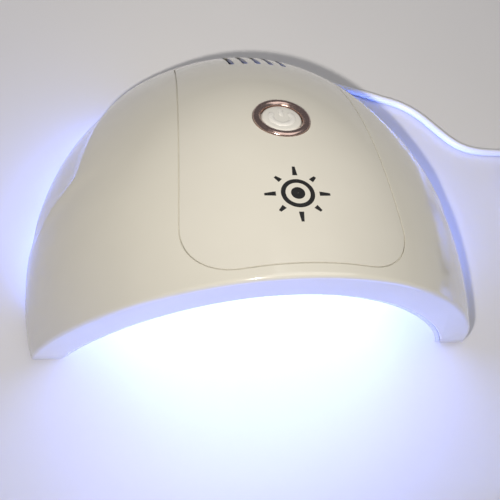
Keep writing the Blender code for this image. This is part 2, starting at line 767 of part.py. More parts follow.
def make_jack():
    middle = (JACK_FRONT_Y + JACK_REAR_Y) / 2.0
    half = ((JACK_REAR_Y - JACK_FRONT_Y) / 2.0)
    body = box_mesh("dc_jack", (0.0, middle, JACK_Z), (JACK_WIDTH_HALF, half, JACK_HALF), 0.4 * MM, 1)
    jack = add_part("dc_jack", body, PART_BLACK)
    collar = jack_hole_cutter("jack_collar", 4.2 * MM, JACK_REAR_Y - 1.0 * MM, JACK_MOUTH_Y)
    boolean(jack, collar, "UNION")
    boolean(jack, jack_hole_cutter("jack_bore", 3.1 * MM, 64.0 * MM, 90.0 * MM))
    core = cylinder_mesh("jack_pin", 0.9 * MM, 64.3 * MM, 75.5 * MM, sides=12)
    pin = add_part("jack_pin", core, STEEL)
    pin.rotation_euler = (-math.pi / 2.0, 0.0, 0.0)
    pin.location = (0.0, 0.0, JACK_Z)


def between_walls(x, y):
    """A point midway between the liner's outside and the shell's inside."""
    above = dome_z(SKIN, x, y) - SHELL_WALL
    return Vector((x, y, (above + dome_z(MOUTH, x, y)) / 2.0))


def make_leads(button_frame):
    """The wires from the jack and the board, threaded between the liner and the shell."""
    socket = button_frame @ Vector((8.0 * MM, 14.3 * MM, BOARD_TOP + 1.7 * MM))
    route = [Vector((3.5 * MM, 66.0 * MM, JACK_Z + JACK_HALF + 1.3 * MM))]
    route.append(Vector((5.0 * MM, 64.0 * MM, 15.0 * MM)))
    route += [between_walls(8.0 * MM, y * MM) for y in (59.0, 52.0, 42.0, 30.0, 18.0, 7.0)]
    route.append(socket)
    tube("lead_jack", smooth_route(route, 4.0 * MM), 0.8 * MM, LEAD_RED, bevel_resolution=1)
    for row, x, y in (("front", 4.0, -48.2), ("middle", -2.5, -35.2)):
        start = button_frame @ Vector((x * MM, -14.6 * MM, BOARD_TOP + 1.9 * MM))
        end = between_walls(x * MM, y * MM)
        points = smooth_route([start, start.lerp(end, 0.5), end], 3.0 * MM)
        tube("lead_strip_" + row, points, 0.6 * MM, LEAD_RED, bevel_resolution=1)


# ---- feet and screws ----------------------------------------------------------------------


def make_feet():
    for place, (x, y, post_radius) in FOOT_PLACES.items():
        radius = post_radius / MM
        profile = ((0.0, 1.3), (radius, 1.3), (radius, 0.3), (radius - 0.3, 0.0), (0.0, 0.0))
        foot = turned("rubber_foot_" + place, profile, RUBBER_GREY, steps=20)
        foot.location = (x, y, 0.0)


def make_liner_screws():
    under = FLANGE_Z[0] / MM - 0.3
    top = SCREW_TOP_Z / MM
    profile = (
        (0.0, top), (1.2, top), (1.2, under), (2.4, under), (2.4, under - 0.9),
        (1.7, under - 1.5), (0.0, under - 1.5),
    )
    for place, (x, y) in SCREW_PLACES.items():
        screw = turned("liner_screw_" + place, profile, STEEL, steps=14)
        screw.location = (x, y, 0.0)


# ---- cord ---------------------------------------------------------------------------------


def make_plug():
    low, high = PLUG_Y
    body = box_mesh(
        "dc_plug", (0.0, (low + high) / 2.0, JACK_Z), (5.0 * MM, (high - low) / 2.0, 4.0 * MM), 1.4 * MM
    )
    add_part("dc_plug", body, CORD_WHITE)
    profile = ((1.5, 76.8), (2.75, 76.8), (2.75, 65.0), (1.5, 65.0))
    barrel = turned("plug_barrel", profile, STEEL, steps=20, closed=True)
    barrel.rotation_euler = (-math.pi / 2.0, 0.0, 0.0)
    barrel.location = (0.0, 0.0, JACK_Z)
    name = "plug_strain_relief"
    sleeve = cylinder_mesh(
        name, RELIEF_ROOT, 5.0 * MM + GAP, RELIEF_END_X, sides=20, end_radius=RELIEF_TIP
    )
    relief = add_part(name, sleeve, CORD_WHITE)
    relief.rotation_euler = (0.0, math.pi / 2.0, 0.0)
    relief.location = (0.0, CORD_ROUTE[0][1] * MM, JACK_Z)


def make_cord():
    route = [Vector(point) * MM for point in CORD_ROUTE]
    tube("power_cord", smooth_route(route, CORD_STEP), CORD_DIAMETER / 2.0, CORD_WHITE)
    low, high = COIL_Z[0] / MM, COIL_Z[1] / MM
    inner = (COIL_MIDDLE - COIL_WIDTH / 2.0) / MM
    outer = (COIL_MIDDLE + COIL_WIDTH / 2.0) / MM
    soft = 1.9
    profile = (
        (inner + soft, high), (outer - soft, high), (outer, high - soft), (outer, low + soft),
        (outer - soft, low), (inner + soft, low), (inner, low + soft), (inner, high - soft),
    )
    coil = turned("cord_coil", profile, CORD_WHITE, steps=40, closed=True)
    coil.location = (*COIL_CENTRE, 0.0)
    make_tie()


def make_tie():
    """A strap right round the coil's bundle, at the coil's near side."""
    inside = (COIL_WIDTH / 2.0 + 2.0 * GAP, (COIL_Z[1] - COIL_Z[0]) / 2.0 + GAP)
    strap = 0.5 * MM
    middle = (COIL_Z[0] + COIL_Z[1]) / 2.0
    y = COIL_CENTRE[1] - COIL_MIDDLE
    centre = (COIL_CENTRE[0], y, middle)
    outside = (3.0 * MM, inside[0] + strap, inside[1] + strap)
    tie = add_part("cord_tie", box_mesh("cord_tie", centre, outside, 0.8 * MM), PART_BLACK)
    hole = box_mesh("tie_hole", centre, (9.0 * MM, *inside))
    boolean(tie, add_cutter("tie_hole", hole))


def make_adapter():
    x, y = ADAPTER_CENTRE
    half = ADAPTER_HALF
    body = box_mesh("power_adapter", (x, y, half[2]), half, 4.0 * MM, 3)
    add_part("power_adapter", body, CORD_WHITE)
    length = ADAPTER_RELIEF
    name = "adapter_strain_relief"
    sleeve = cylinder_mesh(name, ADAPTER_RELIEF_ROOT, 0.0, length, sides=20, end_radius=RELIEF_TIP)
    relief = add_part(name, sleeve, CORD_WHITE)
    relief.rotation_euler = (-math.pi / 2.0, 0.0, 0.0)
    relief.location = (x, y + half[1] + GAP, ADAPTER_CORD_Z)
    prong_z = 2.0 * half[2] + GAP + PRONG_HALF[2]
    for side, shift in (("left", -PRONG_SHIFT), ("right", PRONG_SHIFT)):
        name = "adapter_prong_" + side
        prong = box_mesh(name, (x + shift, y + PRONG_Y, prong_z), PRONG_HALF, 0.5 * MM, 1)
        add_part(name, prong, STEEL)


# ---- assembly -----------------------------------------------------------------------------


def build():
    button_frame = lined_up(SKIN, 0.0, BUTTON_Y)
    side_arch = side_arch_cutter()
    make_outer_shell(side_arch)
    make_top_panel(button_frame)
    make_button(button_frame)
    make_liner(side_arch, button_frame)
    for row, y in STRIP_ROWS.items():
        make_strip(row, y)
    make_lights()
    make_control_board(button_frame)
    make_jack()
    make_leads(button_frame)
    make_feet()
    make_liner_screws()
    make_plug()
    make_cord()
    make_adapter()


build()
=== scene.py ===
"""Looks of a table-top curing lamp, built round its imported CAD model.

Metres, +Z up, in the CAD's own frame. The outer skin, the top panel and the liner are the
CAD's dome formula again at a finer step, with rolled edges and the smooth surface's normals.
"""

import json
from collections import namedtuple
from functools import lru_cache
from math import asin, atan2, cos, degrees, exp, pi, radians, sin, sqrt, tan

import bmesh
import bpy
import numpy as np
from mathutils import Matrix, Vector
from mathutils.bvhtree import BVHTree


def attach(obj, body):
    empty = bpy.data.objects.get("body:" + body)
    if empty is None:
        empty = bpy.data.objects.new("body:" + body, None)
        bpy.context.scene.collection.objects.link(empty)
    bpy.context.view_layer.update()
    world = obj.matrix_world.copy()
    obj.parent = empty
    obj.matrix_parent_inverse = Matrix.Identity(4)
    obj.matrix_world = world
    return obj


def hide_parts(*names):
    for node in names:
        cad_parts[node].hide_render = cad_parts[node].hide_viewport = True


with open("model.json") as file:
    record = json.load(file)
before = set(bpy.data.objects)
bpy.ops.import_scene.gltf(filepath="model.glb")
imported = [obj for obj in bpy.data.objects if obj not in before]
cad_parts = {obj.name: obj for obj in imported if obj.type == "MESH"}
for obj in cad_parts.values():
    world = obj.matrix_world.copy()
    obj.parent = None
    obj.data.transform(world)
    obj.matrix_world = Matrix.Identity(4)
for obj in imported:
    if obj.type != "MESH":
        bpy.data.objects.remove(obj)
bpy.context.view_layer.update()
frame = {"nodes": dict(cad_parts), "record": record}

# ---- dimensions that the CAD source sets

MM = 0.001
GAP = 0.3 * MM
UP = Vector((0.0, 0.0, 1.0))
Dome = namedtuple("Dome", "half_width reach height front_rise power rear_power")
CENTRE_Y = -35.65 * MM
CROWN_Y = -80.25 * MM
RISE_FADE = 25.5 * MM
SKIN = Dome(92.7 * MM, 117.2 * MM, 79.5 * MM, 13 * MM, 0.72, 0.13)
MOUTH = Dome(83.2 * MM, 97 * MM, 67.5 * MM, 14.7 * MM, 0.84, 0.0)
BELOW = 12 * MM  # how far under the table an inner volume starts
CUT_LOW = -6 * MM  # and where it is cut off
OPEN_FRONT = -20 * MM  # a setback that carries a volume out through the front
FRONT_FOOT = Vector((0.0, -70.45 * MM, 0.0))
FRONT_LEAN = radians(6.9)
FRONT_NORMAL = Vector((0.0, -cos(FRONT_LEAN), -sin(FRONT_LEAN)))
SHELL_WALL = 3 * MM
SHELL_BASE_Z = MM
EDGE_ROUND = 1.5 * MM
CREASE_DEPTH = 1.3 * MM
CREASE_SWELL = 0.9 * MM
CREASE_START_Z = 17 * MM
CREASE_TOP_Z = 40.5 * MM
CREASE_REAR_Z = 25 * MM
CREASE_ABOVE = 9 * MM
CREASE_BELOW = 12 * MM
SIDE_ARCH_Y = 5.5 * MM
SIDE_ARCH_HALF = 56 * MM
SIDE_ARCH_RISE = 6 * MM
SIDE_ARCH_RADIUS = (SIDE_ARCH_HALF**2 + SIDE_ARCH_RISE**2) / (2.0 * SIDE_ARCH_RISE)
PANEL_FRONT_Y = -75.5 * MM
PANEL_REAR_Y = 55.5 * MM
PANEL_FRONT_HALF = 37.4 * MM
PANEL_REAR_HALF = 31 * MM
PANEL_CORNER = 17 * MM
PANEL_THICK = 1.4 * MM
PANEL_LEDGE = 5 * MM
VENT_COUNT = 5
VENT_PITCH = 5.3 * MM
VENT_WIDTH = 2.2 * MM
VENT_LENGTH = 20 * MM
VENT_Y = 37 * MM
BUTTON_Y = -16.95 * MM
RING_RADIUS = 10 * MM
LINER_WALL = 1.6 * MM
LINER_SETBACK = 0.8 * MM
FLANGE_Z = (8 * MM, 9.6 * MM)
STRIP_ROWS = {"front": -54 * MM, "middle": -20.5 * MM, "rear": 13.5 * MM}
LED_STATIONS = (-0.72, -0.40, 0.0, 0.40, 0.72)
SENSOR_Y = -66.5 * MM
FOOT_THICK = 1.3 * MM


def both_sides(**rows):
    """Places given for the right side as (x, y, ...), with each one's mirror on the left before it."""
    made = {}
    for row, (x, *others) in rows.items():
        made[row + "_left"] = (-x, *others)
        made[row + "_right"] = (x, *others)
    return made


FOOT_PLACES = both_sides(front=(81.4 * MM, -56.5 * MM, 2.9 * MM), rear=(51.6 * MM, 43.4 * MM, 4.2 * MM))
SCREW_PLACES = both_sides(front=(81.2 * MM, -10.5 * MM), rear=(32.3 * MM, 61.5 * MM))
SCREW_TOP_Z = 12.4 * MM
SCREW_HOLE = 1.55 * MM
JACK_Z = 6.8 * MM
JACK_REAR_Y = 70.5 * MM
JACK_HOLE = 4.6 * MM
RECESS_Y = 76.8 * MM
RECESS_HALF = 7 * MM
RECESS_TOP_Z = 12.4 * MM
PLUG_Y = (77.1 * MM, 85.5 * MM)
RELIEF_END_X = 25.3 * MM
CORD_DIAMETER = 3.8 * MM
COIL_CENTRE = (164 * MM, 7.6 * MM)
COIL_MIDDLE = 21 * MM
COIL_WIDTH = 12 * MM
COIL_Z = (0.9 * MM, 16.1 * MM)
CORD_ROUTE = (  # millimetres, along the middle of the cord
    (25.9, 81.3, 6.8), (33.0, 81.4, 5.3), (41.0, 80.5, 3.2), (50.0, 78.3, 2.1), (59.0, 75.4, 1.95),
    (70.0, 71.4, 1.95), (80.0, 67.6, 1.95), (90.5, 63.4, 1.95), (98.0, 57.9, 1.95), (104.0, 50.9, 1.95),
    (108.5, 44.9, 1.95), (113.5, 39.2, 1.95), (119.0, 35.3, 1.95), (126.0, 33.2, 1.95), (134.0, 32.6, 1.95),
    (141.5, 32.6, 1.95), (148.5, 32.6, 1.95),
)
ADAPTER_HALF = (21 * MM, 25 * MM, 13.5 * MM)
ADAPTER_CENTRE = (189 * MM, -53.4 * MM)
ADAPTER_CORD_Z = 13.8 * MM
ADAPTER_RELIEF = 20 * MM

# ---- how finely the looks are made

RINGS_ABOVE = 34
RINGS_BELOW = 12
CREASE_EDGE = 0.006  # half the crease's own width, as an angle
FRONT_SPLIT = 0.88
SKIN_FRONT_COLUMNS = 30
SKIN_SIDE_COLUMNS = 64
CORNER_COLUMNS = 5
ROUND_STEPS = 5
INNER_RINGS = 26
INNER_SEGMENTS = 96
OUTLINE_POINTS = 176
LIP = 0.13 * MM
SEEN_SEAM = 0.17 * MM  # the seam's half width as it shows
SEAM_DEPTH = 0.85 * MM
SEAM_SLIT = 0.04 * MM
WELD = 0.002 * MM  # corners closer than this become one

SCENE = bpy.context.scene
COLLECTION = bpy.data.collections.new("looks")
CUTTERS = bpy.data.collections.new("cutters")
SCENE.collection.children.link(COLLECTION)
SCENE.collection.children.link(CUTTERS)

# ---- camera

CAMERA_PLACE = Vector((-51.6 * MM, -162.25 * MM, 239.4 * MM))
CAMERA_AZIMUTH = radians(20.62)
CAMERA_ELEVATION = radians(58.15)
CAMERA_ROLL = radians(17.01)
CAMERA_LENS = 46.08


def make_camera():
    flat = cos(CAMERA_ELEVATION)
    back = Vector((-sin(CAMERA_AZIMUTH) * flat, -cos(CAMERA_AZIMUTH) * flat, sin(CAMERA_ELEVATION)))
    level = (-back).cross(UP).normalized()
    upright = level.cross(-back)
    right = level * cos(CAMERA_ROLL) + upright * sin(CAMERA_ROLL)
    up = upright * cos(CAMERA_ROLL) - level * sin(CAMERA_ROLL)
    data = bpy.data.cameras.new("camera")
    data.lens = CAMERA_LENS
    data.sensor_width = 36.0
    data.clip_start = 0.01
    camera = bpy.data.objects.new("camera", data)
    camera.matrix_world = Matrix.Translation(CAMERA_PLACE) @ Matrix((right, up, back)).transposed().to_4x4()
    SCENE.collection.objects.link(camera)
    SCENE.camera = camera


make_camera()

# ---- materials


def feed(made, **values):
    """Sets a node's inputs; an underscore stands for the space in an input's name."""
    for socket, value in values.items():
        made.inputs[socket.replace("_", " ")].default_value = value


def node(tree, kind, **values):
    made = tree.nodes.new(kind)
    feed(made, **values)
    return made


def noise_output(tree, coordinates, scale, detail, stretch=None):
    if stretch is not None:
        mapping = node(tree, "ShaderNodeMapping", Scale=stretch)
        tree.links.new(coordinates, mapping.inputs["Vector"])
        coordinates = mapping.outputs["Vector"]
    noise = node(tree, "ShaderNodeTexNoise", Scale=scale, Detail=detail)
    tree.links.new(coordinates, noise.inputs["Vector"])
    return noise.outputs["Fac"]


def mapped(tree, value, low, high, new_low, new_high):
    spread = node(tree, "ShaderNodeMapRange", From_Min=low, From_Max=high, To_Min=new_low, To_Max=new_high)
    tree.links.new(value, spread.inputs["Value"])
    return spread.outputs["Result"]


PAINTS = {}


def surface(name, colour, second, roughness, cloud=45.0, grain=1800.0, bump=0.002,
            metallic=0.0, coat=0.0, stretch=None, **sockets):
    """A moulded, printed or metal surface: two close colours in soft clouds, uneven gloss, fine grain."""
    material = bpy.data.materials.new(name)
    material.use_nodes = True
    tree = material.node_tree
    shader = tree.nodes["Principled BSDF"]
    feed(shader, Metallic=metallic, Coat_Weight=coat, Coat_Roughness=0.04, **sockets)
    coordinates = tree.nodes.new("ShaderNodeTexCoord").outputs["Object"]
    clouds = noise_output(tree, coordinates, cloud, 3.0)
    mix = tree.nodes.new("ShaderNodeMix")
    mix.data_type = "RGBA"
    feed(mix, A=(*colour, 1.0), B=(*second, 1.0))
    tree.links.new(mapped(tree, clouds, 0.3, 0.7, 0.0, 1.0), mix.inputs["Factor"])
    tree.links.new(mix.outputs["Result"], shader.inputs["Base Color"])
    fine = noise_output(tree, coordinates, grain, 2.0, stretch)
    low, high = roughness
    tree.links.new(mapped(tree, fine, 0.3, 0.7, low, high), shader.inputs["Roughness"])
    relief = node(tree, "ShaderNodeBump", Strength=0.6, Distance=bump * MM)
    tree.links.new(fine, relief.inputs["Height"])
    tree.links.new(relief.outputs["Normal"], shader.inputs["Normal"])
    PAINTS[name] = material


surface("shell_white", (0.785, 0.755, 0.66), (0.765, 0.735, 0.64), (0.14, 0.20), coat=0.5)
surface("panel_white", (0.79, 0.76, 0.67), (0.77, 0.74, 0.65), (0.12, 0.18), coat=0.5)
surface("liner_white", (0.84, 0.85, 0.88), (0.80, 0.81, 0.85), (0.22, 0.34), bump=0.004)
surface("rose_metal", (0.66, 0.49, 0.44), (0.60, 0.43, 0.38), (0.16, 0.30), metallic=1.0,
        cloud=300.0, grain=900.0, bump=0.0015)
surface("button_white", (0.80, 0.78, 0.72), (0.77, 0.75, 0.69), (0.28, 0.40), bump=0.003)
surface("mark_raised", (0.84, 0.82, 0.77), (0.81, 0.79, 0.74), (0.24, 0.34), bump=0.002)
surface("ink_black", (0.012, 0.012, 0.012), (0.018, 0.018, 0.018), (0.30, 0.42), cloud=400.0)
surface("board_green", (0.03, 0.19, 0.09), (0.02, 0.14, 0.06), (0.32, 0.48), cloud=160.0,
        grain=900.0, bump=0.01)
surface("board_white", (0.84, 0.84, 0.82), (0.78, 0.78, 0.76), (0.35, 0.50), cloud=200.0)
surface("part_black", (0.022, 0.022, 0.024), (0.034, 0.034, 0.036), (0.32, 0.50), bump=0.01)
surface("connector_white", (0.76, 0.74, 0.67), (0.70, 0.68, 0.61), (0.38, 0.52))
surface("steel", (0.60, 0.60, 0.60), (0.50, 0.50, 0.51), (0.20, 0.36), metallic=1.0,
        cloud=260.0, grain=1400.0, bump=0.003, stretch=(1.0, 1.0, 6.0))
surface("led_lens", (0.70, 0.68, 0.96), (0.62, 0.60, 0.92), (0.05, 0.12), coat=0.4,
        Transmission_Weight=0.35, Emission_Color=(0.42, 0.50, 1.0, 1.0), Emission_Strength=14.0)
surface("rubber_grey", (0.16, 0.16, 0.17), (0.12, 0.12, 0.13), (0.60, 0.85), bump=0.02)
surface("lead_red", (0.52, 0.04, 0.04), (0.44, 0.03, 0.03), (0.38, 0.52))
surface("cord_white", (0.63, 0.63, 0.65), (0.59, 0.59, 0.61), (0.28, 0.38), bump=0.004)
surface("floor_pale", (0.615, 0.61, 0.625), (0.60, 0.595, 0.61), (0.42, 0.55), cloud=8.0, grain=700.0,
        bump=0.004)
surface("tie_black", (0.03, 0.03, 0.03), (0.06, 0.06, 0.06), (0.75, 0.95), cloud=900.0,
        grain=2600.0, bump=0.08)


def repaint_cad_nodes():
    for part in frame["record"]["subparts"]:
        mesh = frame["nodes"][part["node"]].data
        mesh.materials.clear()
        mesh.materials.append(PAINTS[part["material_slot"]])


# ---- pieces


def to_mesh(bm):
    bmesh.ops.recalc_face_normals(bm, faces=bm.faces)
    mesh = bpy.data.meshes.new("shape")
    bm.to_mesh(mesh)
    bm.free()
    return mesh


def add_piece(name, mesh, paint, replaced=(), slot=None, body="root", place=None, sharp=35.0):
    """A piece of the looks, in its paint's material; the slot given to it is not used."""
    slot = slot or paint
    obj = bpy.data.objects.new(name, mesh)
    mesh.name = name
    if place is not None:
        mesh.transform(place)
    mesh.materials.clear()
    mesh.materials.append(PAINTS[paint])
    mesh.shade_smooth()
    mesh.set_sharp_from_angle(angle=radians(sharp))
    COLLECTION.objects.link(obj)
    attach(obj, body)
    if replaced:
        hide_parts(*replaced)
    return obj


def placed(mesh, place):
    mesh.transform(place)
    return mesh


def cutter(mesh):
    obj = bpy.data.objects.new("cutter", mesh)
    obj.hide_render = True
    CUTTERS.objects.link(obj)
    return obj


def carved(mesh, cuts, joins=()):
    """The mesh with the joins added to it and then the cuts taken from it."""
    obj = cutter(mesh)
    for operation, tools in (("UNION", joins), ("DIFFERENCE", cuts)):
        for tool in tools:
            modifier = obj.modifiers.new("carve", "BOOLEAN")
            modifier.object = cutter(tool)
            modifier.operation = operation
            modifier.solver = "EXACT"
    graph = bpy.context.evaluated_depsgraph_get()
    made = bpy.data.meshes.new_from_object(obj.evaluated_get(graph))
    bm = bmesh.new()
    bm.from_mesh(made)
    bmesh.ops.remove_doubles(bm, verts=bm.verts, dist=WELD)
    bmesh.ops.dissolve_degenerate(bm, edges=bm.edges, dist=WELD)
    bmesh.ops.holes_fill(bm, edges=[e for e in bm.edges if e.is_boundary], sides=0)
    bm.to_mesh(made)
    bm.free()
    return made


def joined(rows, closed=False):
    """A closed shape over rows of points: a row of one point is a pole, any other end row gets a face."""
    size = max(len(row) for row in rows)
    bm = bmesh.new()
    rings = []
    for row in rows:
        corners = [bm.verts.new(p) for p in row]
        rings.append(corners if len(corners) > 1 else corners * size)
    pairs = list(zip(rings, rings[1:]))
    if closed:
        pairs.append((rings[-1], rings[0]))
    for first, second in pairs:
        for step in range(size):
            after = (step + 1) % size
            corners = list(dict.fromkeys((first[step], second[step], second[after], first[after])))
            if len(corners) > 2:
                bm.faces.new(corners)
    for ring in () if closed else (rings[0], rings[-1]):
        if ring[0] != ring[1]:
            bm.faces.new(ring)
    return bm


def at(x, y, z=0.0, axis="Z", turn=0.0):
    """A placement at this point, turned this many degrees about the axis."""
    return Matrix.Translation((x, y, z)) @ Matrix.Rotation(radians(turn), 4, axis)


def last_true(low, high, test):
    """The highest value between these at which the test still holds."""
    for _ in range(40):
        middle = (low + high) / 2.0
        if test(middle):
            low = middle
        else:
            high = middle
    return low


def smooth_step(low, high, value):
    share = min(1.0, max(0.0, (value - low) / (high - low)))
    return share * share * (3.0 - 2.0 * share)


# ---- the domes


def rise(dome, y):
    return dome.height + dome.front_rise * exp(-(y - CROWN_Y) / RISE_FADE)


def dome_left(dome, x, y):
    across = x / dome.half_width
    along = (y - CENTRE_Y) / dome.reach
    left = max(0.0, 1.0 - across * across - along * along)
    return across, along, left, dome.power + dome.rear_power * max(0.0, along)


def dome_z(dome, x, y):
    _, _, left, power = dome_left(dome, x, y)
    return rise(dome, y) * left**power


def dome_normal(dome, x, y):
    across, along, left, power = dome_left(dome, x, y)
    steepness = 2.0 * power * rise(dome, y)
    lean = dome.front_rise / RISE_FADE * exp(-(y - CROWN_Y) / RISE_FADE) * left
    return Vector((steepness * across / dome.half_width, steepness * along / dome.reach + lean,
                   left ** (1.0 - power))).normalized()


def degrees_back(angle):
    """How far round from the side towards the rear a plan angle lies."""
    return degrees(atan2(sin(angle), abs(cos(angle))))


def crease_z(angle):
    """The height of the crease, which climbs from the side and sinks again towards the rear."""
    turn = degrees_back(angle)
    climb = (CREASE_TOP_Z - CREASE_START_Z) * smooth_step(3.0, 14.0, turn)
    return CREASE_START_Z + climb - (CREASE_TOP_Z - CREASE_REAR_Z) * smooth_step(12.0, 64.0, turn)


def crease_inset(angle, z):
    """A swell above the crease and a hollow below it, which runs out at the base."""
    turn = degrees_back(angle)
    share = smooth_step(3.0, 9.0, turn) * (1.0 - smooth_step(50.0, 80.0, turn))
    line = crease_z(angle)
    under = line - z
    if under <= 0.0:
        return -share * CREASE_SWELL * exp(-((under / CREASE_ABOVE) ** 2))
    if under < CREASE_BELOW:
        left = 1.0 - under / CREASE_BELOW
        return share * (CREASE_DEPTH - (CREASE_DEPTH + CREASE_SWELL) * left * left)
    return share * CREASE_DEPTH * (1.0 - smooth_step(CREASE_BELOW, line - SHELL_BASE_Z, under))


def dome_place(dome, rho, angle, inset=0.0):
    """The point at this share of the plan's reach and this angle, moved in from the surface by inset."""
    x = dome.half_width * rho * cos(angle)
    y = CENTRE_Y + dome.reach * rho * sin(angle)
    z = dome_z(dome, x, y)
    point = Vector((x, y, z)) - dome_normal(dome, x, y) * inset
    if dome is SKIN:
        outward = Vector((x, y - CENTRE_Y, 0.0))
        if outward.length > 0.0:
            point -= outward.normalized() * crease_inset(angle, z)
    return point


def lined_up(dome, x, y, inset=0.0):
    normal = dome_normal(dome, x, y)
    across = Vector((0.0, 1.0, 0.0)).cross(normal).normalized()
    turn = Matrix((across, normal.cross(across), normal)).transposed().to_4x4()
    return Matrix.Translation(Vector((x, y, dome_z(dome, x, y))) - normal * inset) @ turn


def base_z(y):
    """The height of the shell's bottom edge, which lifts in a long arch along each side."""
    away = abs(y - SIDE_ARCH_Y)
    if away >= SIDE_ARCH_HALF:
        return SHELL_BASE_Z
    return SHELL_BASE_Z + SIDE_ARCH_RISE - SIDE_ARCH_RADIUS + sqrt(SIDE_ARCH_RADIUS**2 - away**2)


def base_normal(y):
    step = 0.5 * MM
    slope = (base_z(y + step) - base_z(y - step)) / (2.0 * step)
    return Vector((0.0, slope, -1.0)).normalized()


# ---- the outer skin: one closed volume with its edges rolled by a ball


def past_front(point):
    return (point - FRONT_FOOT).dot(FRONT_NORMAL) + EDGE_ROUND > 0.0


def past_base(point):
    return point.z < base_z(point.y) + EDGE_ROUND


def edge_share(angle):
    """How far out the ball that rolls along the edge has its centre."""
    def inside(share):
        point = dome_place(SKIN, share, angle, EDGE_ROUND)
        return not (past_front(point) or past_base(point))
    return last_true(0.0, 1.0, inside)


@lru_cache
def corner_angle():
    """The plan angle where the front stops the rolling ball for the last time."""
    def front_stops(angle):
        return past_front(dome_place(SKIN, edge_share(angle) + 1e-9, angle, EDGE_ROUND))
    return last_true(radians(-60.0), 0.0, front_stops)


def skin_columns():
    """Plan angles from the front's middle round to the rear's, with each column's edge normal."""
    corner = corner_angle()
    foot = dome_place(SKIN, edge_share(corner), corner)
    middle_y = CROWN_Y + EDGE_ROUND
    columns = []
    for step in range(SKIN_FRONT_COLUMNS):
        share = step / SKIN_FRONT_COLUMNS
        x = foot.x * share
        y = middle_y + (foot.y - middle_y) * share
        angle = atan2((y - CENTRE_Y) / SKIN.reach, x / SKIN.half_width)
        columns.append((angle, FRONT_NORMAL))
    down = base_normal(foot.y)
    for step in range(CORNER_COLUMNS + 1):
        columns.append((corner, FRONT_NORMAL.slerp(down, step / CORNER_COLUMNS)))
    for step in range(1, SKIN_SIDE_COLUMNS + 1):
        angle = corner + (pi / 2.0 - corner) * step / SKIN_SIDE_COLUMNS
        y = dome_place(SKIN, edge_share(angle), angle).y
        columns.append((angle, base_normal(y)))
    return columns


def crease_spread(angle, edge):
    """Where the crease crosses a column; a column of the front takes an even share instead."""
    if angle < corner_angle():
        return FRONT_SPLIT * edge

    def above_crease(spread):
        x = SKIN.half_width * sin(spread) * cos(angle)
        y = CENTRE_Y + SKIN.reach * sin(spread) * sin(angle)
        return dome_z(SKIN, x, y) > crease_z(angle)

    return min(last_true(0.0, edge, above_crease), 0.97 * edge)


def skin_column(angle, edge_normal):
    """Points from the crown down one column of the skin and round its rolled edge."""
    limit = edge_share(angle)
    edge = asin(limit)
    line = crease_spread(angle, edge)
    fine = min(CREASE_EDGE, 0.08 * (edge - line))
    spreads = [line * ring / RINGS_ABOVE for ring in range(1, RINGS_ABOVE)]
    spreads += [line - fine, line, line + fine]
    left = edge - line - fine
    spreads += [line + fine + left * ring / RINGS_BELOW for ring in range(1, RINGS_BELOW + 1)]
    points = [dome_place(SKIN, sin(spread), angle) for spread in spreads]
    ball = dome_place(SKIN, limit, angle, EDGE_ROUND)
    outward = (points[-1] - ball).normalized()
    for step in range(1, ROUND_STEPS + 1):
        points.append(ball + outward.slerp(edge_normal, step / ROUND_STEPS) * EDGE_ROUND)
    return points


def skin_volume():
    bm = bmesh.new()
    columns = skin_columns()
    right = [[bm.verts.new(p) for p in skin_column(*column)] for column in columns]
    left = [right[0]]
    for column in right[1:-1]:
        left.append([bm.verts.new((-v.co.x, v.co.y, v.co.z)) for v in column])
    left.append(right[-1])
    top = bm.verts.new(dome_place(SKIN, 0.0, 0.0))
    for side in (right, left):
        for here, there in zip(side, side[1:]):
            bm.faces.new((top, here[0], there[0]))
            for ring in range(len(here) - 1):
                bm.faces.new((here[ring], here[ring + 1], there[ring + 1], there[ring]))
    last = SKIN_FRONT_COLUMNS
    bm.faces.new([column[-1] for column in right[:last + 1]]
                 + [column[-1] for column in reversed(left[1:last + 1])])
    for index in range(last, len(right) - 1):
        corners = [right[index][-1], right[index + 1][-1], left[index + 1][-1], left[index][-1]]
        bm.faces.new(list(dict.fromkeys(corners)))
    bmesh.ops.remove_doubles(bm, verts=bm.verts, dist=WELD)
    bmesh.ops.dissolve_degenerate(bm, edges=bm.edges, dist=0.0005 * MM)
    return to_mesh(bm)


class Skin:
    """The finished outer skin, to drop points on and to take smooth normals from."""

    def __init__(self, mesh):
        self.mesh = mesh
        self.points = [v.co.copy() for v in mesh.vertices]
        self.normals = [n.vector.copy() for n in mesh.vertex_normals]
        mesh.calc_loop_triangles()
        self.triangles = [tuple(t.vertices) for t in mesh.loop_triangles]
        self.tree = BVHTree.FromPolygons(self.points, self.triangles)

    def normal_at(self, point, index):
        corners = self.triangles[index]
        a, b, c = (self.points[i] for i in corners)
        whole = (b - a).cross(c - a)
        size = whole.length_squared
        if size == 0.0:
            return self.normals[corners[0]]
        share_b = (point - a).cross(c - a).dot(whole) / size
        share_c = (b - a).cross(point - a).dot(whole) / size
        shares = (1.0 - share_b - share_c, share_b, share_c)
        mixed = sum((self.normals[i] * s for i, s in zip(corners, shares)), Vector())
        return mixed.normalized()

    def drop(self, x, y):
        place, _, index, _ = self.tree.ray_cast(Vector((x, y, 0.3)), -UP)
        return place, self.normal_at(place, index)

    def smooth(self, mesh, reach=0.03 * MM):
        """Gives the mesh the skin's own normals wherever it lies on the skin."""
        mesh.update()
        normals = [c.vector.copy() for c in mesh.corner_normals]
        for polygon in mesh.polygons:
            for loop in polygon.loop_indices:
                point = mesh.vertices[mesh.loops[loop].vertex_index].co
                place, _, index, away = self.tree.find_nearest(point, reach)
                if place is None:
                    continue
                normal = self.normal_at(place, index)
                if normal.dot(polygon.normal) > 0.8:
                    normals[loop] = normal
        mesh.normals_split_custom_set(normals)


SURFACE = Skin(skin_volume())

# ---- inner volumes and plates


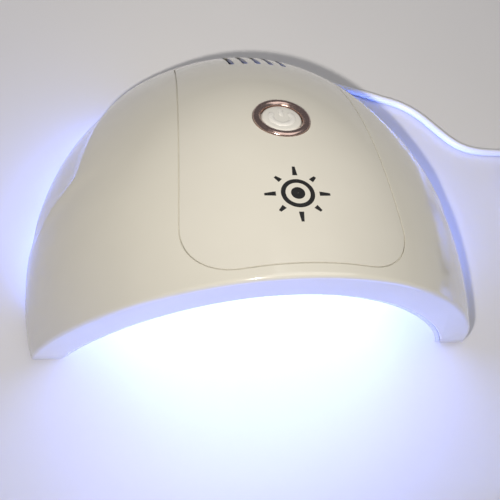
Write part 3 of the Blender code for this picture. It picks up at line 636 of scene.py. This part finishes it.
def keep_side(bm, point, outward):
    geometry = bm.verts[:] + bm.edges[:] + bm.faces[:]
    bmesh.ops.bisect_plane(bm, geom=geometry, dist=1e-7, plane_co=point, plane_no=outward,
                           clear_outer=True)
    bmesh.ops.remove_doubles(bm, verts=bm.verts, dist=0.01 * MM)
    bmesh.ops.holes_fill(bm, edges=[e for e in bm.edges if e.is_boundary], sides=0)


def dome_volume(dome, inset, setback, low, high=None):
    angles = [2.0 * pi * step / INNER_SEGMENTS for step in range(INNER_SEGMENTS)]
    rows = [[dome_place(dome, 0.0, 0.0, inset)]]
    for ring in range(1, INNER_RINGS + 1):
        rho = sin(ring / INNER_RINGS * pi / 2.0)
        rows.append([dome_place(dome, rho, a, inset) for a in angles])
    rows.append([(p.x, p.y, -BELOW) for p in rows[-1]])
    bm = joined(rows)
    keep_side(bm, FRONT_FOOT - FRONT_NORMAL * setback, FRONT_NORMAL)
    keep_side(bm, UP * low, -UP)
    if high is not None:
        keep_side(bm, UP * high, UP)
    return to_mesh(bm)


def box_mesh(centre, half, round_edge=0.0, segments=3):
    bm = bmesh.new()
    bmesh.ops.create_cube(bm, size=2.0)
    bmesh.ops.scale(bm, vec=half, verts=bm.verts)
    if round_edge:
        bmesh.ops.bevel(bm, geom=bm.edges[:], offset=round_edge, segments=segments, profile=0.5,
                        affect="EDGES", clamp_overlap=True)
    bmesh.ops.translate(bm, vec=centre, verts=bm.verts)
    return to_mesh(bm)


def softened(profile, radius, closed, steps=3):
    """The profile with each corner turned on a small curve."""
    points = [Vector((r, z)) for r, z in profile]
    count = len(points)
    made = []
    for index, here in enumerate(points):
        if not closed and index in (0, count - 1):
            made.append(here)
            continue
        before = points[index - 1] - here
        after = points[(index + 1) % count] - here
        start = here + before.normalized() * min(radius, before.length * 0.45)
        end = here + after.normalized() * min(radius, after.length * 0.45)
        for step in range(steps + 1):
            t = step / steps
            made.append(start * (1 - t) ** 2 + here * 2.0 * t * (1 - t) + end * t**2)
    return made


def lathe(profile, steps=64, closed=False, soft=0.0):
    """A solid turned about its own Z from (radius, height) points in millimetres."""
    points = softened(profile, soft, closed) if soft else [Vector(p) for p in profile]
    turns = [2.0 * pi * step / steps for step in range(steps)]
    rows = []
    for point in points:
        radius, height = point.x * MM, point.y * MM
        if radius < 1e-7:
            rows.append([(0.0, 0.0, height)])
        else:
            rows.append([(radius * cos(a), radius * sin(a), height) for a in turns])
    return to_mesh(joined(rows, closed))


def cylinder_mesh(radius, low, high, steps=48):
    profile = ((0.0, low / MM), (radius / MM, low / MM), (radius / MM, high / MM), (0.0, high / MM))
    return lathe(profile, steps)


def post(x, y, radius, low, high, steps):
    return placed(cylinder_mesh(radius, low, high, steps), at(x, y))


def rounded_outline(corners, radius, steps=14):
    outline = []
    for index, corner in enumerate(corners):
        here = Vector(corner)
        before = (Vector(corners[index - 1]) - here).normalized()
        after = (Vector(corners[(index + 1) % len(corners)]) - here).normalized()
        half = before.angle(after) / 2.0
        middle = here + (before + after).normalized() * (radius / sin(half))
        start = here + before * (radius / tan(half)) - middle
        end = here + after * (radius / tan(half)) - middle
        sweep = start.angle_signed(end)
        for step in range(steps + 1):
            outline.append(middle + Matrix.Rotation(-sweep * step / steps, 2) @ start)
    return outline


def evenly(outline, count):
    """The closed outline again as this many evenly spaced points."""
    closed = [*outline, outline[0]]
    lengths = [0.0]
    for first, second in zip(closed, closed[1:]):
        lengths.append(lengths[-1] + (second - first).length)
    made = []
    index = 0
    for step in range(count):
        want = lengths[-1] * step / count
        while lengths[index + 1] < want:
            index += 1
        share = (want - lengths[index]) / (lengths[index + 1] - lengths[index])
        made.append(closed[index].lerp(closed[index + 1], share))
    return made


def panel_outline(grow):
    front = PANEL_FRONT_Y - grow
    rear = PANEL_REAR_Y + grow
    corners = ((-PANEL_FRONT_HALF - grow, front), (PANEL_FRONT_HALF + grow, front),
               (PANEL_REAR_HALF + grow, rear), (-PANEL_REAR_HALF - grow, rear))
    return evenly(rounded_outline(corners, PANEL_CORNER + grow), OUTLINE_POINTS)


def draped_plate(bands, rings):
    """A closed plate over the skin, shaped like the panel. Each band is (how far its outline stands
    outside the panel's, depth under the skin); the first is the top's edge and the last the underside's."""
    centre = Vector((0.0, -10 * MM))

    def laid(spots, depth):
        row = []
        for spot in spots:
            place, normal = SURFACE.drop(*spot)
            row.append(place - UP * (depth / max(normal.z, 0.35)))
        return row

    bands = [(panel_outline(grow), depth) for grow, depth in bands]
    first_outline, first_depth = bands[0]
    last_outline, last_depth = bands[-1]
    rows = [laid([centre], first_depth)]
    for ring in range(1, rings + 1):
        rows.append(laid([centre.lerp(p, ring / rings) for p in first_outline], first_depth))
    rows += [laid(outline, depth) for outline, depth in bands[1:]]
    for ring in range(rings - 1, 0, -1):
        rows.append(laid([centre.lerp(p, ring / rings) for p in last_outline], last_depth))
    rows.append(laid([centre], last_depth))
    return to_mesh(joined(rows))


# ---- shell and top panel


def mouth_lip():
    """A wedge along the mouth's edge that rounds it over."""
    lip = 1.1 * MM
    rows = []
    rail = []
    for step in range(97):
        angle = -pi * step / 96.0

        def behind_front(share):
            return (dome_place(MOUTH, share, angle) - FRONT_FOOT).dot(FRONT_NORMAL) <= 0.0

        rail.append(dome_place(MOUTH, last_true(0.0, 1.0, behind_front), angle))
    rail = [p for p in rail if p.z > 0.5 * MM]
    rail.insert(0, rail[0] - UP * 6 * MM)
    rail.append(rail[-1] - UP * 6 * MM)
    for index, point in enumerate(rail):
        before = rail[max(0, index - 1)]
        after = rail[min(len(rail) - 1, index + 1)]
        along = (after - before).normalized()
        outward = along.cross(FRONT_NORMAL).normalized()
        if outward.dot(point - Vector((0.0, point.y, 20 * MM))) < 0.0:
            outward = -outward
        inward = -FRONT_NORMAL
        row = [point - outward * 2 * MM - inward * MM, point + outward * lip - inward * MM]
        for turn in range(6):
            a = radians(6.0 + 78.0 * turn / 5.0)
            row.append(point + outward * lip * (1.0 - sin(a)) + inward * lip * (1.0 - cos(a)))
        row.append(point - outward * 2 * MM + inward * lip)
        rows.append(row)
    return to_mesh(joined(rows))


def make_shell():
    kept = [post(x, y, 3 * MM, FLANGE_Z[1] + GAP, 60 * MM, 24) for x, y in SCREW_PLACES.values()]
    depth = 12 * MM
    kept.append(box_mesh((0.0, JACK_REAR_Y + GAP + depth, 0.0),
                         (RECESS_HALF + 2 * MM, depth, RECESS_TOP_Z + 2 * MM)))
    cavity = carved(dome_volume(SKIN, SHELL_WALL, SHELL_WALL, CUT_LOW), kept)
    mouth = dome_volume(MOUTH, 0.0, OPEN_FRONT, CUT_LOW)
    high = -14 * MM
    recess = draped_plate(
        ((SEEN_SEAM + 0.9 * MM, high), (SEEN_SEAM + 0.9 * MM, -0.6 * MM), (SEEN_SEAM + LIP, 0.0),
         (SEEN_SEAM + 0.3 * LIP, 0.4 * LIP), (SEEN_SEAM, LIP), (SEEN_SEAM, PANEL_THICK + GAP)), 8)
    window = draped_plate(((-PANEL_LEDGE, high), (-PANEL_LEDGE, 16 * MM)), 4)
    depth = 10 * MM
    flat = box_mesh((0.0, RECESS_Y + depth, 0.0), (RECESS_HALF, depth, RECESS_TOP_Z), MM)
    jack_hole = placed(cylinder_mesh(JACK_HOLE, 69 * MM, 95 * MM), at(0.0, 0.0, JACK_Z, "X", -90.0))
    cuts = [cavity, mouth, mouth_lip(), recess, window, flat, jack_hole]
    cuts += [post(x, y, SCREW_HOLE, 5 * MM, SCREW_TOP_Z + GAP, 16) for x, y in SCREW_PLACES.values()]
    shell = add_piece("shell_skin", carved(SURFACE.mesh, cuts), "shell_white", ("outer_shell",), sharp=40.0)
    SURFACE.smooth(shell.data)


def make_panel(button_frame):
    bands = [(-SEEN_SEAM - LIP, 0.0)]
    for turn in (30.0, 60.0, 90.0):
        a = radians(turn)
        bands.append((-SEEN_SEAM - LIP * (1.0 - sin(a)), LIP * (1.0 - cos(a))))
    bands.append((-SEEN_SEAM, SEAM_DEPTH))
    bands.append((SEEN_SEAM - SEAM_SLIT, SEAM_DEPTH + 0.02 * MM))
    bands.append((SEEN_SEAM - SEAM_SLIT, PANEL_THICK))
    boss = lathe(((8.9, -4.0), (12.5, -4.0), (12.5, -1.1), (8.9, -1.1)), 80, True)
    lip = RING_RADIUS / MM + 0.15
    seat = lathe(((0.0, 3.0), (lip + 1.2, 3.0), (lip + 1.2, 0.7), (lip + 0.35, 0.05), (lip, -0.3),
                  (lip, -2.4), (0.0, -2.4)), 96)
    cuts = [placed(seat, button_frame)]
    radius = VENT_WIDTH / 2.0
    half = VENT_LENGTH / 2.0
    for slot in range(VENT_COUNT):
        x = (slot - (VENT_COUNT - 1) / 2.0) * VENT_PITCH
        corners = ((x - radius, VENT_Y - half), (x + radius, VENT_Y - half),
                   (x + radius, VENT_Y + half), (x - radius, VENT_Y + half))
        outline = rounded_outline(corners, radius * 0.98, 7)
        cuts.append(to_mesh(joined([[(*p, z) for p in outline] for z in (10 * MM, 120 * MM)])))
    mesh = carved(draped_plate(bands, 30), cuts, [placed(boss, button_frame)])
    panel = add_piece("panel_cover", mesh, "panel_white", ("top_panel",), sharp=40.0)
    SURFACE.smooth(panel.data)


# ---- button


def cap_height(radius):
    """The button cap's crown, in millimetres, at this radius."""
    return 0.10 - 0.20 * (radius / 5.8) ** 2.4


def raised_line(name, points, half, place):
    """A softly rounded raised line on the button's cap, through plan points in millimetres."""
    count = len(points)
    rows = []
    shape = ((-1.0, -0.3), (-0.97, 0.02), (-0.75, 0.17), (-0.4, 0.26), (0.0, 0.29), (0.4, 0.26), (0.75, 0.17),
             (0.97, 0.02), (1.0, -0.3))
    for index, here in enumerate(points):
        before = Vector(points[max(0, index - 1)])
        after = Vector(points[min(count - 1, index + 1)])
        along = (after - before).normalized()
        side = Vector((-along.y, along.x))
        ends = min(index, count - 1 - index)
        width = half * (0.45, 0.82, 0.96)[ends] if ends < 3 else half
        row = []
        for across, lift in shape:
            spot = Vector(here) + side * across * width
            up = lift if lift < 0.0 else lift * width / half
            row.append(Vector((spot.x, spot.y, cap_height(spot.length) + up)) * MM)
        rows.append(row)
    add_piece(name, to_mesh(joined(rows)), "mark_raised", slot="button_white", body="button", place=place,
              sharp=70.0)


def make_button(button_frame):
    ring_profile = ((8.05, 0.50), (8.7, 0.62), (9.35, 0.52), (9.9, 0.05), (10.0, -0.4), (10.0, -2.1),
                    (7.35, -2.1), (7.35, -0.3))
    add_piece("bezel_ring", lathe(ring_profile, 128, True, 0.25), "rose_metal", ("button_ring",),
              place=button_frame)
    cap_profile = ((0.0, 0.10), (2.5, 0.09), (4.4, 0.02), (5.8, -0.10), (6.6, -0.30), (7.0, -0.8),
                   (7.0, -2.4), (8.4, -2.4), (8.4, -3.2), (2.0, -3.2), (2.0, -4.0), (0.0, -4.0))
    add_piece("button_cap", lathe(cap_profile, 128, False, 0.35), "button_white", ("power_button",),
              body="button", place=button_frame)
    sweep = [radians(140.0 + 6.5 * step) for step in range(41)]  # leaves the top open for the bar
    raised_line("power_arc", [(3.75 * cos(a), 3.75 * sin(a)) for a in sweep], 1.1, button_frame)
    raised_line("power_bar", [(0.0, 0.6 + 4.9 * step / 8.0) for step in range(9)], 0.95, button_frame)


# ---- printed sun mark

MARK_CENTRE = Vector((0.0, -50.9 * MM))
MARK_UNIT = 1.32 * MM
FILM = 0.04 * MM


def printed(name, strip):
    """A thin printed film over the panel, along a strip of pairs of plan points."""
    rows = []
    for left, right in strip:
        row = []
        for spot, lift in ((left, -FILM), (right, -FILM), (right, FILM), (left, FILM)):
            place, normal = SURFACE.drop(*spot)
            row.append(place + normal * lift)
        rows.append(row)
    add_piece(name, to_mesh(joined(rows)), "ink_black", slot="part_black")


def make_mark():
    """A plain sun, printed in black: a ring with a dot in it and eight rays."""
    steps = 48
    for name, inner, outer in (("mark_dot", 0.05, 1.7), ("mark_ring", 3.0, 4.1)):
        for half, start in (("a", 0.0), ("b", pi)):
            rows = []
            for step in range(steps + 1):
                a = start + pi * step / steps
                way = Vector((cos(a), sin(a)))
                rows.append([MARK_CENTRE + way * radius * MARK_UNIT for radius in (inner, outer)])
            printed(f"{name}_{half}", rows)
    for ray in range(8):
        a = pi * ray / 4.0
        way = Vector((cos(a), sin(a)))
        side = Vector((-way.y, way.x))
        long = 8.0 if ray % 2 == 0 else 7.0
        rows = []
        for step in range(5):
            out = 5.3 + (long - 5.3) * step / 4.0
            half = 0.62 - 0.28 * step / 4.0
            rows.append([MARK_CENTRE + (way * out + side * edge) * MARK_UNIT for edge in (-half, half)])
        printed(f"mark_ray_{ray + 1}", rows)


# ---- liner and lights


def light_frames():
    frames = {}
    for y in STRIP_ROWS.values():
        along = (y - CENTRE_Y) / MOUTH.reach
        half = MOUTH.half_width * sqrt(1.0 - along * along)
        for station in LED_STATIONS:
            frames[f"{len(frames) + 1:02d}"] = lined_up(MOUTH, station * half, y, GAP)
    return frames


def make_liner():
    front = SHELL_WALL + 0.5 * MM
    joins = [dome_volume(SKIN, front, front, FLANGE_Z[0], FLANGE_Z[1])]
    for x, y, radius in FOOT_PLACES.values():
        joins.append(post(x, y, radius, FOOT_THICK + GAP, FLANGE_Z[0] + MM, 32))
    cuts = [dome_volume(MOUTH, GAP + LINER_WALL, OPEN_FRONT, CUT_LOW)]
    drum = cylinder_mesh(SIDE_ARCH_RADIUS, -110 * MM, 110 * MM, 320)
    drum_z = SHELL_BASE_Z + SIDE_ARCH_RISE - SIDE_ARCH_RADIUS
    cuts.append(placed(drum, at(0.0, SIDE_ARCH_Y, drum_z, "Y", 90.0)))
    cuts.append(box_mesh((0.0, 70.5 * MM, 9 * MM), (RECESS_HALF + 2.6 * MM, 11.5 * MM, 3 * MM)))
    cuts += [post(x, y, SCREW_HOLE, 5 * MM, 12 * MM, 24) for x, y in SCREW_PLACES.values()]
    flare = ((0.0, 6.0), (2.9, 6.0), (2.9, -1.1), (3.5, -1.75), (3.5, -6.0), (0.0, -6.0))
    for place in [*light_frames().values(), lined_up(MOUTH, 0.0, SENSOR_Y, GAP)]:
        cuts.append(placed(lathe(flare, 32), place))
    blank = dome_volume(MOUTH, GAP, LINER_SETBACK, SHELL_BASE_Z + 0.6 * MM)
    add_piece("liner_tub", carved(blank, cuts, joins), "liner_white", ("inner_liner",), sharp=30.0)


def drop_shape(radius, start, depth, steps):
    """Profile points down a rounded end, from its rim to its tip."""
    turns = [radians(90.0 * turn / steps) for turn in range(steps + 1)]
    return [(radius * cos(a), start - depth * sin(a)) for a in turns]


def make_lights():
    lens = [(0.0, 0.15), (2.5, 0.15), (2.5, -1.25), *drop_shape(2.15, -1.35, 2.15, 8)]
    for number, place in light_frames().items():
        add_piece("lens_" + number, lathe(lens, 32), "led_lens", ("led_" + number,), place=place)
    eye = [(0.0, 4.0), (2.2, 4.0), *drop_shape(2.2, -0.6, 1.6, 6)]
    add_piece("sensor_eye", lathe(eye, 32), "part_black", ("hand_sensor",),
              place=lined_up(MOUTH, 0.0, SENSOR_Y, GAP))


# ---- feet and screws


def make_feet():
    for place, (x, y, post_radius) in FOOT_PLACES.items():
        r = post_radius / MM
        profile = ((0.0, 1.3), (r, 1.3), (r, 0.35), (r - 0.35, 0.0), (r * 0.72, 0.0), (r * 0.66, 0.25),
                   (r * 0.5, 0.25), (r * 0.44, 0.0), (0.0, 0.0))
        add_piece("foot_" + place, lathe(profile, 48, False, 0.12), "rubber_grey", ("rubber_foot_" + place,),
                  place=at(x, y))


def make_liner_screws():
    under = FLANGE_Z[0] / MM - 0.3
    top = SCREW_TOP_Z / MM
    profile = ((0.0, top), (1.2, top), (1.2, under), (2.4, under), (2.4, under - 0.7), (1.9, under - 1.3),
               (1.0, under - 1.5), (0.0, under - 1.5))
    for place, (x, y) in SCREW_PLACES.items():
        cross = [placed(box_mesh((0.0, 0.0, (under - 1.5) * MM), (1.35 * MM, 0.26 * MM, 0.7 * MM)),
                        at(0.0, 0.0, turn=way)) for way in (0.0, 90.0)]
        add_piece("screw_" + place, carved(lathe(profile, 40, False, 0.15), cross), "steel",
                  ("liner_screw_" + place,), place=at(x, y))


# ---- cord, plug and adapter

COIL_TURNS = ((25.0, 2.6), (21.0, 2.6), (17.0, 2.6), (17.0, 6.4), (21.0, 6.4), (25.0, 6.4), (21.0, 10.2),
              (17.0, 10.2), (17.0, 14.0), (21.0, 14.0), (25.0, 14.0), (25.0, 14.0))
POINTS_PER_TURN = 24


def coil_guess():
    """The cord's own turns, from the coil's top round clockwise to where it leaves for the adapter."""
    points = []
    whole = len(COIL_TURNS) - 2
    for step in range(1, round((whole + 0.25) * POINTS_PER_TURN) + 1):
        turn = step / POINTS_PER_TURN
        index = int(turn)
        share = smooth_step(0.70, 1.0, turn - index)
        r0, z0 = COIL_TURNS[index]
        r1, z1 = COIL_TURNS[index + 1]
        if index == whole:
            share = 1.0
        a = pi / 2.0 - 2.0 * pi * turn
        radius = (r0 + (r1 - r0) * share) * MM
        points.append((COIL_CENTRE[0] + radius * cos(a), COIL_CENTRE[1] + radius * sin(a),
                       (z0 + (z1 - z0) * share) * MM))
    return points


def settle(points, free_from, free_to):
    """Pushes turns that press into each other apart until they lie side by side."""
    start = np.array(points, float)
    moved = np.zeros_like(start)
    index = np.arange(len(start))
    far = np.abs(index[:, None] - index[None, :]) > 6
    want = CORD_DIAMETER * 1.03
    for _ in range(200):
        place = start + moved
        gap = place[:, None, :] - place[None, :, :]
        away = np.sqrt((gap**2).sum(2)) + 1e-9
        push = np.where(far & (away < want), (want - away) / away, 0.0)
        moved += (gap * push[:, :, None]).sum(1) * 0.35
        moved[1:-1] += (moved[:-2] + moved[2:] - 2.0 * moved[1:-1]) * 0.15
        moved[:free_from] = 0.0
        moved[free_to:] = 0.0
        lowest = CORD_DIAMETER / 2.0 + 0.05 * MM
        moved[:, 2] = np.maximum(moved[:, 2], lowest - start[:, 2])
    return [Vector(p) for p in start + moved]


def make_cord():
    route = [Vector(p) * MM for p in CORD_ROUTE]
    route += [Vector((156 * MM, 32.6 * MM, 2.2 * MM)), Vector((COIL_CENTRE[0], 32.6 * MM, 2.6 * MM))]
    coil = coil_guess()
    end_y = ADAPTER_CENTRE[1] + ADAPTER_HALF[1] + GAP + ADAPTER_RELIEF
    tail = [Vector((ADAPTER_CENTRE[0], y, ADAPTER_CORD_Z)) for y in (3 * MM, -2 * MM, end_y + GAP)]
    fixed = len(route)
    points = settle([*route, *coil, *tail], fixed, fixed + len(coil))
    curve = bpy.data.curves.new("cord_line", "CURVE")
    curve.dimensions = "3D"
    curve.bevel_depth = CORD_DIAMETER / 2.0
    curve.bevel_resolution = 5
    curve.resolution_u = 6
    curve.use_fill_caps = True
    spline = curve.splines.new("BEZIER")
    spline.bezier_points.add(len(points) - 1)
    for knot, point in zip(spline.bezier_points, points):
        knot.co = point
        knot.handle_left_type = knot.handle_right_type = "AUTO"
    cord = bpy.data.objects.new("cord_line", curve)
    curve.materials.append(PAINTS["cord_white"])
    COLLECTION.objects.link(cord)
    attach(cord, "root")
    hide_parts("power_cord", "cord_coil")
    length = sum((b - a).length for a, b in zip(points, points[1:]))
    return cord, points, length


def ribbed_relief(length, thick, thin=2.2, ribs=6):
    """A tapered strain relief whose sleeve is cut into soft ribs, along its own Z from 0."""
    profile = [(0.0, 0.0), (thick, 0.0)]
    for rib in range(ribs):
        start = length * (0.12 + 0.80 * rib / ribs)
        pitch = length * 0.80 / ribs
        for share, dip in ((0.0, 0.0), (0.55, 0.0), (0.65, 0.32), (0.90, 0.32)):
            along = start + pitch * share
            radius = thick + (thin - thick) * along / length
            profile.append((radius - dip, along))
    profile += [(thin, length * 0.94), (thin, length - 0.3), (thin - 0.2, length), (0.0, length)]
    return lathe(profile, 40, False, 0.12)


def make_plug():
    low, high = PLUG_Y
    half_x = 5 * MM
    body = box_mesh((0.0, (low + high) / 2.0, JACK_Z), (half_x, (high - low) / 2.0, 4 * MM), 1.5 * MM, 4)
    grooves = [box_mesh((side * 5.2 * MM, (79.3 + step * 1.9) * MM, JACK_Z), (0.6 * MM, 0.4 * MM, 2.3 * MM),
                        0.15 * MM, 1) for side in (-1.0, 1.0) for step in range(3)]
    add_piece("plug_body", carved(body, grooves), "cord_white", ("dc_plug",))
    length = (RELIEF_END_X - half_x - GAP) / MM
    add_piece("plug_relief", ribbed_relief(length, 3.0), "cord_white", ("plug_strain_relief",),
              place=at(half_x + GAP, CORD_ROUTE[0][1] * MM, JACK_Z, "Y", 90.0))


def make_adapter():
    x, y = ADAPTER_CENTRE
    half = ADAPTER_HALF
    seam_z = 18 * MM
    seam = box_mesh((x, y, seam_z), (half[0] + MM, half[1] + MM, 0.22 * MM))
    core = box_mesh((x, y, seam_z), (half[0] - 0.45 * MM, half[1] - 0.45 * MM, 2 * MM), 4 * MM, 6)
    face = box_mesh((x, y - 2 * MM, 2.0 * half[2]), (15 * MM, 22 * MM, 0.35 * MM), 0.3 * MM, 2)
    blank = box_mesh((x, y, half[2]), half, 4.2 * MM, 6)
    case = add_piece("adapter_case", carved(blank, [carved(seam, [core]), face]), "cord_white",
                     ("power_adapter",))
    relief = add_piece("adapter_relief", ribbed_relief(ADAPTER_RELIEF / MM, 3.4), "cord_white",
                       ("adapter_strain_relief",), place=at(x, y + half[1] + GAP, ADAPTER_CORD_Z, "X", -90.0))
    prongs = []
    prong_y = y - 8 * MM
    for side, prong_x in (("left", x - 6.35 * MM), ("right", x + 6.35 * MM)):
        blade = box_mesh((prong_x, prong_y, 2.0 * half[2] + GAP + 8 * MM),
                         (0.75 * MM, 3.15 * MM, 8 * MM), 0.35 * MM, 2)
        hole = placed(cylinder_mesh(1.55 * MM, -3 * MM, 3 * MM, 28),
                      at(prong_x, prong_y, 2.0 * half[2] + 12.6 * MM, "Y", 90.0))
        prongs.append(add_piece("blade_" + side, carved(blade, [hole]), "steel", ("adapter_prong_" + side,)))
    return [case, relief, *prongs]


def make_tie():
    """A hook-and-loop strap round the bundle."""
    inside = (COIL_WIDTH / 2.0 + 0.5 * MM, (COIL_Z[1] - COIL_Z[0]) / 2.0 + 0.25 * MM)
    middle = (COIL_Z[0] + COIL_Z[1]) / 2.0
    strap = 0.55 * MM
    y = COIL_CENTRE[1] - COIL_MIDDLE
    width = 3 * MM
    corners = [(inside[0] * across, inside[1] * up) for across, up in ((-1, -1), (1, -1), (1, 1), (-1, 1))]
    inner = evenly(rounded_outline(corners, 2.2 * MM, 8), 96)
    grown = [(a - strap if a < 0 else a + strap, b - strap if b < 0 else b + strap) for a, b in corners]
    outer = evenly(rounded_outline(grown, 2.2 * MM + strap, 8), 96)
    rows = []
    for outline, side in ((inner, -width), (outer, -width), (outer, width), (inner, width)):
        rows.append([(COIL_CENTRE[0] + side, y + p[0], middle + p[1]) for p in outline])
    return add_piece("coil_strap", to_mesh(joined(rows, True)), "tie_black", ("cord_tie",), slot="part_black")


# ---- floor and light


def make_floor():
    bm = bmesh.new()
    bmesh.ops.create_grid(bm, x_segments=4, y_segments=4, size=3.0)
    mesh = to_mesh(bm)
    floor = bpy.data.objects.new("floor", mesh)
    floor.location.z = -0.05 * MM
    mesh.materials.append(PAINTS["floor_pale"])
    SCENE.collection.objects.link(floor)


GLOW = (0.24, 0.35, 1.0)
GLOW_REACH = 12.0
LED_POWER = 0.055
LED_SPREAD = radians(150.0)
LED_BLEND = 0.6
LED_RADIUS = 2.2 * MM
LED_DROP = 4.2 * MM  # how far under the liner's ceiling a light shines from
LEAK_BLUE = (0.14, 0.25, 1.0)
LEAK_ANGLES = (1.0, 15.0, 29.0, 43.0)
LEAK_FROM = 0.90  # shares of the base's plan, from its middle
LEAK_TO = 1.2
LEAK_Z = 4.4 * MM
LEAK_AIM_Z = 1.32 * MM
LEAK_SIZE = (27 * MM, 4.8 * MM)
LEAK_POWER = 0.055
VENT_GLOW_Z = 46 * MM
VENT_GLOW_SIZE = (26 * MM, 18 * MM)
VENT_GLOW_POWER = 0.0025
BOUNCE_PLACE = (0.0, -135 * MM, 3 * MM)  # the table's own light, on the front rim
BOUNCE_AIM = (0.0, -75 * MM, 50 * MM)
BOUNCE_SIZE = (240 * MM, 80 * MM)
BOUNCE_POWER = 0.30
BOUNCE_REACH = 8.0
FLASH_PLACE = (-60.4 * MM, -159 * MM, 218.6 * MM)
FLASH_AIM = (0.0, 90 * MM, 40 * MM)
FLASH_WIDTH = 8 * MM
FLASH_POWER = 0.50
FLASH_REACH = 11.0
FLASH_SPREAD = radians(150.0)
FLASH_COLOUR = (1.0, 0.95, 0.87)
SOFT_PLACE = (1.5, -0.45, 5.7)
SOFT_WIDTH = 6.0
SOFT_POWER = 144.0
SOFT_COLOUR = (1.0, 0.98, 0.95)
WORLD_COLOUR = (0.97, 0.96, 1.0, 1.0)
WORLD_STRENGTH = 0.15


def add_light(name, kind, power, colour, place, falloff=None, strength=0.0):
    """A light that may fade with distance more slowly than a bare one would."""
    data = bpy.data.lights.new(name, kind)
    data.energy = power
    data.color = colour
    if falloff:
        data.use_nodes = True
        tree = data.node_tree
        fade = node(tree, "ShaderNodeLightFalloff", Strength=strength)
        tree.links.new(fade.outputs[falloff], tree.nodes["Emission"].inputs["Strength"])
    light = bpy.data.objects.new(name, data)
    light.matrix_world = place
    SCENE.collection.objects.link(light)
    return light


def aimed(place, aim):
    turn = (Vector(aim) - Vector(place)).to_track_quat("-Z", "Y")
    return Matrix.Translation(place) @ turn.to_matrix().to_4x4()


def hidden_panel(name, place, aim, size, power, strength, colour):
    """A flat light that lights what it faces and is not seen itself."""
    light = add_light(name, "AREA", power, colour, aimed(place, aim), "Linear", strength)
    light.data.shape = "RECTANGLE"
    light.data.size, light.data.size_y = size
    light.visible_camera = False


def leak_lights():
    """The glow that gets out under the arches in the shell's sides."""
    for side in (-1.0, 1.0):
        for number, turn in enumerate(LEAK_ANGLES):
            angle = radians(turn)
            across = side * SKIN.half_width * cos(angle)
            along = SKIN.reach * sin(angle)
            place = (across * LEAK_FROM, CENTRE_Y + along * LEAK_FROM, LEAK_Z)
            aim = (across * LEAK_TO, CENTRE_Y + along * LEAK_TO, LEAK_AIM_Z)
            hidden_panel(f"leak_{number}", place, aim, LEAK_SIZE, LEAK_POWER * cos(angle), GLOW_REACH,
                         LEAK_BLUE)


def make_lighting():
    world = bpy.data.worlds.new("studio")
    world.use_nodes = True
    feed(world.node_tree.nodes["Background"], Color=WORLD_COLOUR, Strength=WORLD_STRENGTH)
    SCENE.world = world
    flash = add_light("flash", "AREA", FLASH_POWER, FLASH_COLOUR, aimed(FLASH_PLACE, FLASH_AIM), "Constant",
                      FLASH_REACH)
    flash.data.shape = "DISK"
    flash.data.size = FLASH_WIDTH
    flash.data.spread = FLASH_SPREAD
    soft = add_light("top", "AREA", SOFT_POWER, SOFT_COLOUR, aimed(SOFT_PLACE, (0.0, 0.0, 0.0)))
    soft.data.size = SOFT_WIDTH
    hidden_panel("bounce", BOUNCE_PLACE, BOUNCE_AIM, BOUNCE_SIZE, BOUNCE_POWER, BOUNCE_REACH, LEAK_BLUE)
    leak_lights()
    hidden_panel("vent_glow", (0.0, VENT_Y, VENT_GLOW_Z), (0.0, VENT_Y, 2.0 * VENT_GLOW_Z), VENT_GLOW_SIZE,
                 VENT_GLOW_POWER, GLOW_REACH, GLOW)
    for number, place in light_frames().items():
        under = place @ Matrix.Translation((0.0, 0.0, -LED_DROP))
        light = add_light("glow_" + number, "SPOT", LED_POWER, GLOW, under, "Linear", GLOW_REACH)
        light.data.spot_size = LED_SPREAD
        light.data.spot_blend = LED_BLEND
        light.data.shadow_soft_size = LED_RADIUS
    SCENE.view_settings.view_transform = "Standard"


# ---- assembly


def build():
    repaint_cad_nodes()
    cord, route, length = make_cord()
    button_frame = lined_up(SKIN, 0.0, BUTTON_Y)
    make_shell()
    make_panel(button_frame)
    make_button(button_frame)
    make_mark()
    make_liner()
    make_lights()
    make_feet()
    make_liner_screws()
    make_plug()
    adapter = make_adapter()
    tie = make_tie()
    make_floor()
    make_lighting()


build()
